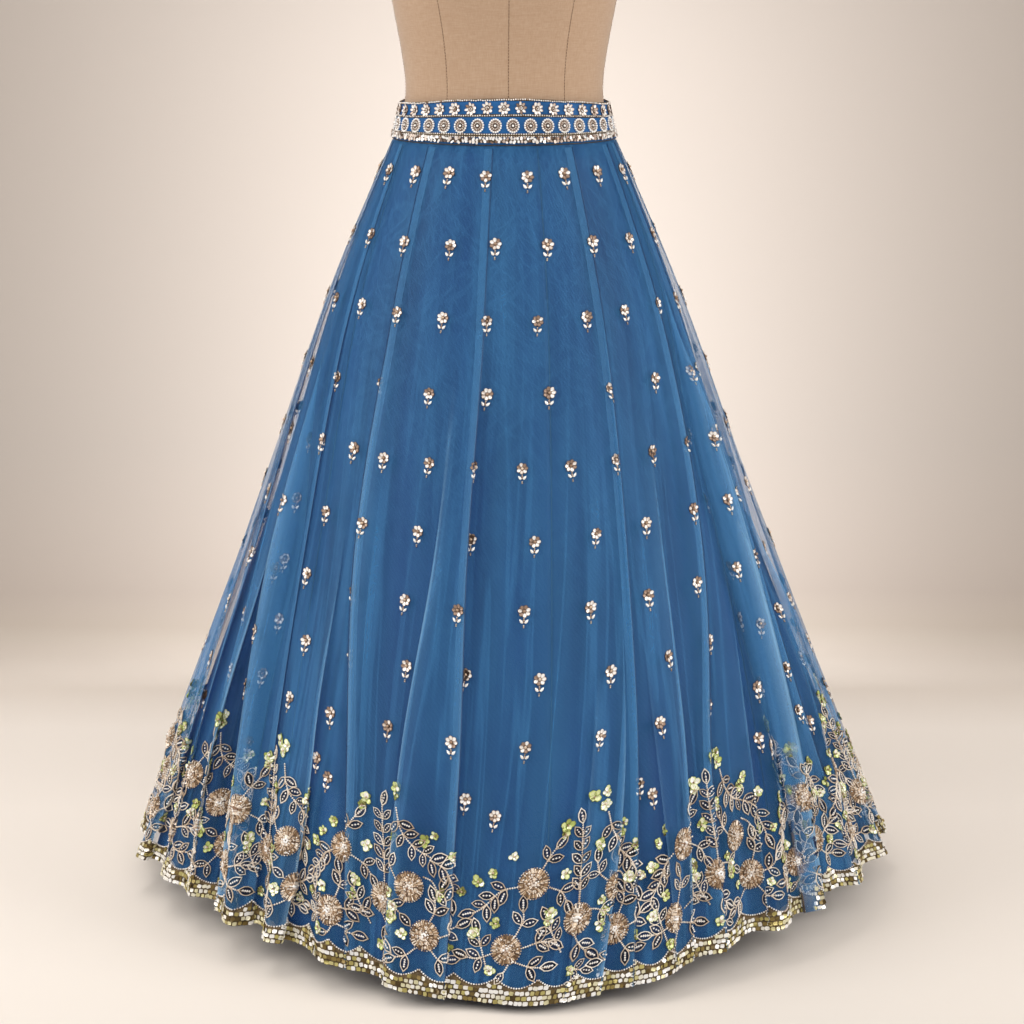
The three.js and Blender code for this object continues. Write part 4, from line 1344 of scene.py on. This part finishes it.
# One repeat. Sprays: the stem's course, step between leaf pairs, leaf length, spread, share of the
# stem without leaves, whether a leaf ends it. First the tall one, then the arching one in two
# parts, then those that run out from the rosettes.
SPRAYS = [
    (((120, 108), (118, 140), (114, 178), (112, 208)), 15, 19, 0.7, 0.1, True),
    (((144, 206), (152, 184), (168, 166), (188, 156)), 15, 20, 0.95, 0.2, False),
    (((188, 156), (206, 145), (217, 124), (222, 104)), 14, 21, 0.85, 0.0, True),
    (((50, 134), (32, 126), (16, 108), (4, 98)), 14, 21, 0.8, 0.15, True),
    (((70, 152), (80, 170), (90, 184)), 14, 20, 0.85, 0.2, True),
    (((82, 132), (96, 124), (104, 112)), 14, 20, 0.85, 0.3, True),
    (((52, 78), (58, 96), (56, 112)), 14, 20, 0.85, 0.2, True),
    (((62, 66), (80, 72), (98, 68)), 14, 21, 0.85, 0.3, True),
    (((56, 50), (74, 42), (94, 40)), 14, 21, 0.85, 0.2, True),
    (((30, 56), (12, 50), (-8, 52)), 14, 20, 0.85, 0.3, True),
    (((118, 76), (128, 60), (144, 46)), 14, 22, 0.85, 0.2, True),
    (((204, 68), (220, 76), (234, 84)), 14, 21, 0.85, 0.3, True),
    (((192, 84), (198, 100), (196, 112)), 13, 20, 0.85, 0.3, True),
    (((150, 128), (140, 142), (136, 156)), 13, 19, 0.85, 0.3, True),
    (((178, 52), (168, 42), (156, 38)), 13, 20, 0.8, 0.4, True),
    (((196, 54), (208, 44), (222, 42)), 13, 20, 0.85, 0.3, True),
    (((104, 58), (92, 78), (84, 96)), 14, 19, 0.85, 0.2, True),
    (((26, 38), (16, 66), (12, 82)), 14, 19, 0.85, 0.4, True),
    (((134, 100), (146, 96), (158, 86)), 14, 19, 0.85, 0.5, True),
    (((48, 44), (44, 38), (38, 34)), 9, 17, 0.9, 0.6, True),
    (((116, 38), (128, 34), (134, 33)), 9, 17, 0.9, 0.3, True),
    (((182, 134), (192, 130), (200, 118)), 12, 18, 0.9, 0.6, True),
]
ROSETTES = [(120, 92, 17.5), (166, 120, 17), (188, 68, 17), (64, 138, 17.5), (44, 62, 17)]
CLUSTERS = [
    (126, 226, 7.0), (140, 218, 6.0), (140, 228, 5.5), (94, 200, 6.5), (92, 192, 5.0),
    (134, 172, 6.0), (98, 148, 5.5), (184, 176, 6.0), (190, 184, 4.5), (214, 162, 5.5),
    (8, 132, 6.0), (22, 148, 5.0), (84, 104, 6.0), (84, 94, 5.0), (28, 90, 5.5), (6, 76, 5.5),
    (150, 84, 6.0), (150, 94, 4.5), (164, 64, 5.5), (222, 58, 5.0), (28, 36, 5.5),
    (118, 38, 5.5), (206, 122, 5.5), (230, 120, 4.5), (146, 108, 4.5), (40, 164, 5.0),
]
# two sprigs stand in each dip of the border
DIP_SPRIGS = [(228, 222), (258, 206)]
fit = REPEAT / DRAWN_REPEAT
for repeat in range(REPEATS):
    shift = repeat * REPEAT
    for course, *kind in SPRAYS:
        spray([(shift + x * fit, y + rng.normal(0, 1)) for x, y in course], *kind)
    for x, y, radius in ROSETTES:
        rosette(shift + x * fit, y, radius)
    for x, y, radius in CLUSTERS:
        cluster(shift + (x + rng.normal(0, 2)) * fit, y + rng.normal(0, 2), radius)
    for x, y in DIP_SPRIGS:
        angle, drop = border_place(shift + x * fit, y)
        sprig(float(angle), float(drop), rng.normal(0, SPRIG_LEAN), 1.0)

rosette_pads.piece("border_rosette_pads", bugle_finish, "embroidery")
rosette_bugles.piece("border_rosette_bugles", bugle_finish, "embroidery", smooth=False)
rosette_stones.piece("border_rosette_crystals", seed_finish, "embroidery")
leaf_cords.piece("border_leaf_cords", cord_finish, "embroidery")
leaf_grounds.piece("border_leaf_grounds", ground_finish, "embroidery")
leaf_beads.piece("border_leaf_beads", seed_finish, "embroidery")
stem_beads.piece("border_stem_beads", gold_bead_finish, "embroidery")
green_flowers.piece("border_sequin_flowers", green_finish, "embroidery")
sprig_petals.piece("sprig_petals", petal_finish, "embroidery")
sprig_beads.piece("sprig_beads", gold_bead_finish, "embroidery")
sprig_drops.piece("sprig_leaves", seed_finish, "embroidery")

# The scalloped edge: a metal-thread tape under rows of flat sequins, with a line of white beads
# that swags from point to point along its top.
HEM_MM = HEM_LENGTH / MM
SCALLOP_WIDTH = 48  # millimetres, before it is fitted to the hem
SCALLOPS = int(round(HEM_MM / SCALLOP_WIDTH))
SCALLOP = HEM_MM / SCALLOPS
SWAG_HEIGHT, SWAG_RISE, SWAG_SHARPNESS = 19, 10, 2.0
TAPE_COLUMNS = 12  # to a scallop
TAPE_ROWS = 5
TAPE_FOOT = 0.3  # millimetres between the tape's lower edge and the hem
TAPE_WALL = 0.0005
TAPE_LIFT = 0.0007


def tape_top(x):
    """Height of the tape's upper edge, in millimetres above the hem."""
    share = np.mod(np.asarray(x, float) / SCALLOP, 1.0)
    return SWAG_HEIGHT + SWAG_RISE * np.abs(2 * share - 1) ** SWAG_SHARPNESS


tape_x = np.linspace(0, HEM_MM, SCALLOPS * TAPE_COLUMNS + 1)[:-1]
tape_points = []
for share in np.linspace(1, 0, TAPE_ROWS):
    angle, drop = border_place(tape_x, tape_top(tape_x) * share + (1 - share) * TAPE_FOOT)
    tape_points.append(net.at(angle, drop, TAPE_LIFT))
hem_tape = grid_piece("hem_tape", np.array(tape_points), tape_finish, "sequin_border", ring=True,
    tones=rng.uniform(0, 1, len(tape_x) * TAPE_ROWS))
thickened(hem_tape, TAPE_WALL)
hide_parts(*(f"hem_border_{k + 1}" for k in range(12)))

hem_sequins = Stitched(on_border)
SEQUIN_ROWS, SEQUIN_ROW_STEP, SEQUIN_STEP = 5, 5.7, 5.9
LOWEST_SEQUINS, SEQUIN_MARGIN = 2.6, 2.2  # millimetres above the hem, and below the tape's top
for row in range(SEQUIN_ROWS):
    count = int(HEM_MM / SEQUIN_STEP)
    x = (np.arange(count) + (row % 2) / 2) * HEM_MM / count + rng.normal(0, 0.4, count)
    y = LOWEST_SEQUINS + row * SEQUIN_ROW_STEP + rng.normal(0, 0.25, count)
    keep = y < tape_top(x) - SEQUIN_MARGIN
    x, y = x[keep], y[keep]
    count = len(x)
    # tones: the sequins' own colours, the near-white ones partly painted glints
    hem_sequins.sew(FLAT_SEQUIN, (x, y), size=random_sizes(count, (4.4, 6.2), (4.0, 5.0), 1.0),
        lift=rng.uniform(0.8, 1.5, count), turn=rng.normal(0, 0.2, count),
        tilt=rng.normal(0, 0.25, count), tones=rng.beta(1.3, 0.85, count))
hem_sequins.piece("hem_sequins", hem_sequin_finish, "sequin_border", smooth=False)

SWAG_BEAD_STEP = 3.0
SWAG_BEADS_UP = 0.4  # millimetres from the tape's top to the beads' middles
fine_x = np.linspace(0, HEM_MM, SCALLOPS * 60 + 1)
run = np.concatenate([[0], np.cumsum(np.hypot(np.diff(fine_x), np.diff(tape_top(fine_x))))])
count = int(run[-1] / SWAG_BEAD_STEP)
x = np.interp(np.arange(count) * run[-1] / count, run, fine_x)
scallop_beads = Stitched(on_border)
tones = rng.uniform(0.3, 1.0, count)
scallop_beads.sew(BEAD, (x, tape_top(x) + SWAG_BEADS_UP), lift=1.1, size=1.2, tones=tones)
scallop_beads.piece("hem_scallop_beads", seed_finish, "sequin_border")

# ---- dress form -------------------------------------------------------------------------------
# The linen cover: the padded torso's own form, made smooth.
WELD = 0.00005
FLAT_ENOUGH = math.radians(60)
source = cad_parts["form_torso"]
cover = added("form_cover", source.data.copy())
start(cover)
edit()
bpy.ops.mesh.remove_doubles(threshold=WELD)
bpy.ops.mesh.tris_convert_to_quads(face_threshold=FLAT_ENOUGH, shape_threshold=FLAT_ENOUGH)
bpy.ops.object.mode_set(mode="OBJECT")
smoothing = cover.modifiers.new("smooth", "SUBSURF")
smoothing.levels = smoothing.render_levels = 2
smoothing.boundary_smooth = "PRESERVE_CORNERS"
bpy.ops.object.modifier_apply(modifier=smoothing.name)
bpy.ops.object.shade_smooth()
cover.select_set(False)
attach(cover, "root")
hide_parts("form_torso")

for piece, finish in (
    (cover, linen_finish),
    (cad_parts["form_neck_cap"], beech_finish),
    (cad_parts["stand_pole"], steel_finish),
    (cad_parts["stand_base"], steel_finish),
):
    piece.data.materials.clear()
    piece.data.materials.append(finish)

# Stitches along the cover's seams: middle of the front and back, princess lines, and sides.
SEAM_ANGLES = [3.2, -41.5, 44.0, -90, 90, 138, -138, 180]
STITCH = np.array([1.25, 0.42, 0.35]) * MM
STITCH_PITCH = 3.6 * MM
STITCH_SLANT = 0.22
STITCH_LIFT = 0.15 * MM
STITCHED_FROM, STITCHED_TO = 0.960, 1.405
OUTSIDE = 0.6  # metres from the axis, clear of the form
tree_of_cover = BVHTree.FromPolygons([v.co[:] for v in cover.data.vertices],
    [p.vertices[:] for p in cover.data.polygons])
stitch = placed(BUGLE, 0, 0, size=STITCH)[0]
seam_stitches = Stitched()
for seam in SEAM_ANGLES:
    bearing = math.radians(seam)
    ray = Vector((-math.sin(bearing), math.cos(bearing), 0))
    for k, height in enumerate(np.arange(STITCHED_FROM, STITCHED_TO, STITCH_PITCH)):
        begin = Vector((AXIS[0], AXIS[1], height)) - ray * OUTSIDE
        hit, normal, _, _ = tree_of_cover.ray_cast(begin, ray)
        if hit is None:
            continue
        side = Vector((0, 0, 1)).cross(normal).normalized()
        up = normal.cross(side)
        slant = STITCH_SLANT if k % 2 else -STITCH_SLANT
        along = (up * math.cos(slant) + side * math.sin(slant)).normalized()
        axes = np.array([along[:], normal.cross(along)[:], normal[:]])
        points = stitch @ axes + np.array(hit) + np.array(normal) * STITCH_LIFT
        seam_stitches.add(BUGLE, points[None], rng.uniform(0, 1, 1))
seam_stitches.piece("form_seam_stitches", thread_finish, "linen")

# ---- studio -----------------------------------------------------------------------------------
CAMERA_PLACE = (-0.0029, -3.1509, 1.2473)
CAMERA_DOWN = 13.73  # degrees below level
CAMERA_LENS, CAMERA_SENSOR = 89.2, 36  # millimetres
scene = bpy.context.scene
camera_data = bpy.data.cameras.new("camera")
camera = added("camera", camera_data)
camera_data.lens, camera_data.sensor_width = CAMERA_LENS, CAMERA_SENSOR
camera.location = CAMERA_PLACE
camera.rotation_euler = (math.radians(90 - CAMERA_DOWN), 0, 0)
scene.camera = camera
scene.view_settings.view_transform = "Standard"
scene.cycles.transparent_max_bounces = 24
scene.cycles.use_light_tree = False  # a handful of lights needs none

# A seamless paper sweep: warm white on the floor, its colour painted darker before the stand and
# greyer where it stands up behind the form, a painted shade, with the faintest unevenness. From
# behind, it lets the eye through to the form's back.
SWEEP_SIZE, SWEEP_MIDDLE, SWEEP_RISE, SWEEP_BEND = 14, -5.1, 7, 0.9
SWEEP_LOW = -0.0004  # just below the stand's base
PAPER_LONG, PAPER_AHEAD = 4.0, 1.0  # metres that its tones span, and how much is before the stand
# the paper's painted shade at each distance behind the stand, measured along the floor and up the wall
PAPER_PAINTED_SHADES = [
    (-1.0, "#DCD6CF"), (0.24, "#F5EEE7"), (0.6, "#EDE6DF"), (0.8, "#DAD1C8"),
    (0.97, "#BBB1A7"), (1.14, "#A2978C"), (1.3, "#978C83"), (1.86, "#918880"),
]


def sweep_paper():
    made, tree = new_tree("paper_sweep_warm_white")
    where = node(tree, "TexCoord")
    mottle = node(tree, "TexNoise", Vector=where, Scale=1.5, Detail=3.0)
    along = node(tree, "SeparateXYZ", Vector=where).outputs
    back_and_up = node(tree, "Math", {"operation": "ADD"}, _0=along["Y"], _1=along["Z"])
    uneven = node(tree, "Math", MULTIPLY_ADD, _0=mottle, _1=0.08, _2=back_and_up)
    near = -PAPER_AHEAD - SWEEP_MIDDLE
    reach = node(tree, "MapRange", Value=uneven, From_Min=near, From_Max=near + PAPER_LONG)
    stops = [((reach_at + PAPER_AHEAD) / PAPER_LONG, tone) for reach_at, tone in PAPER_PAINTED_SHADES]
    # painted shade: the paper's colour is darkened by its distance back and up
    shade = ramp(node(tree, "ValToRGB", Fac=reach), stops)
    surface = node(tree, "BsdfPrincipled", Base_Color=shade, Roughness=0.8)
    from_behind = node(tree, "NewGeometry").outputs["Backfacing"]
    clear = node(tree, "BsdfTransparent")
    one_sided = node(tree, "MixShader", Fac=from_behind, _1=surface, _2=clear)
    node(tree, "OutputMaterial", Surface=one_sided)
    return made


start()
bpy.ops.mesh.primitive_plane_add(size=SWEEP_SIZE, location=(0, SWEEP_MIDDLE, SWEEP_LOW))
sweep = bpy.context.object
sweep.name = "studio_sweep"
edit()
pick("verts", lambda place, normal: place.y > 0)
bpy.ops.mesh.extrude_region_move(TRANSFORM_OT_translate={"value": (0, 0, SWEEP_RISE)})
pick("verts", lambda place, normal: place.y > 0 and place.z < SWEEP_RISE / 2)
bpy.ops.mesh.bevel(offset=SWEEP_BEND, segments=24)
bpy.ops.mesh.select_all(action="SELECT")
bpy.ops.mesh.normals_make_consistent(inside=True)
bpy.ops.object.mode_set(mode="OBJECT")
bpy.ops.object.shade_smooth()
sweep.data.materials.append(sweep_paper())
sweep.select_set(False)

WORLD_COLOUR, WORLD_STRENGTH = "#FBF4EE", 0.32
scene.world = bpy.data.worlds.new("studio")
scene.world.use_nodes = True
background = scene.world.node_tree.nodes["Background"].inputs
background["Color"].default_value = colour(WORLD_COLOUR)
background["Strength"].default_value = WORLD_STRENGTH

# place, aim, width, height, watts, spread in degrees, and colour of each soft box
SOFT_BOXES = [
    ((-3.0, -1.1, 2.0), (0, 0, 0.6), 2.2, 2.6, 69, 180, "#FFFAF4"),
    ((3.0, -1.3, 2.0), (0, 0, 0.6), 2.2, 2.6, 75, 180, "#FFFAF4"),
    ((0.2, -4.4, 3.2), (0, 0, 0.3), 3.0, 1.6, 29, 180, "#FFFCF8"),
    ((0.0, -2.8, 3.2), (0, -0.9, 0), 3.6, 2.0, 28, 180, "#FFFCF8"),
    ((-0.8, 0.6, 3.4), (-0.4, 0.4, 0), 4.4, 0.8, 12, 90, "#FFFAF4"),
    ((0.0, 0.75, 0.72), (0, 1.9, 0.72), 0.3, 0.3, 37, 180, "#F0F2F5"),
]
for k, (spot, aim, width, height, watts, spread, tint) in enumerate(SOFT_BOXES):
    light_data = bpy.data.lights.new(f"soft_box_{k + 1}", "AREA")
    light_data.shape = "RECTANGLE"
    light_data.size, light_data.size_y = width, height
    light_data.energy = watts
    light_data.spread = math.radians(spread)
    light_data.color = colour(tint)[:3]
    light = added(f"soft_box_{k + 1}", light_data)
    light.visible_camera = False
    light.location = spot
    light.rotation_euler = (Vector(aim) - Vector(spot)).to_track_quat("-Z", "Y").to_euler()
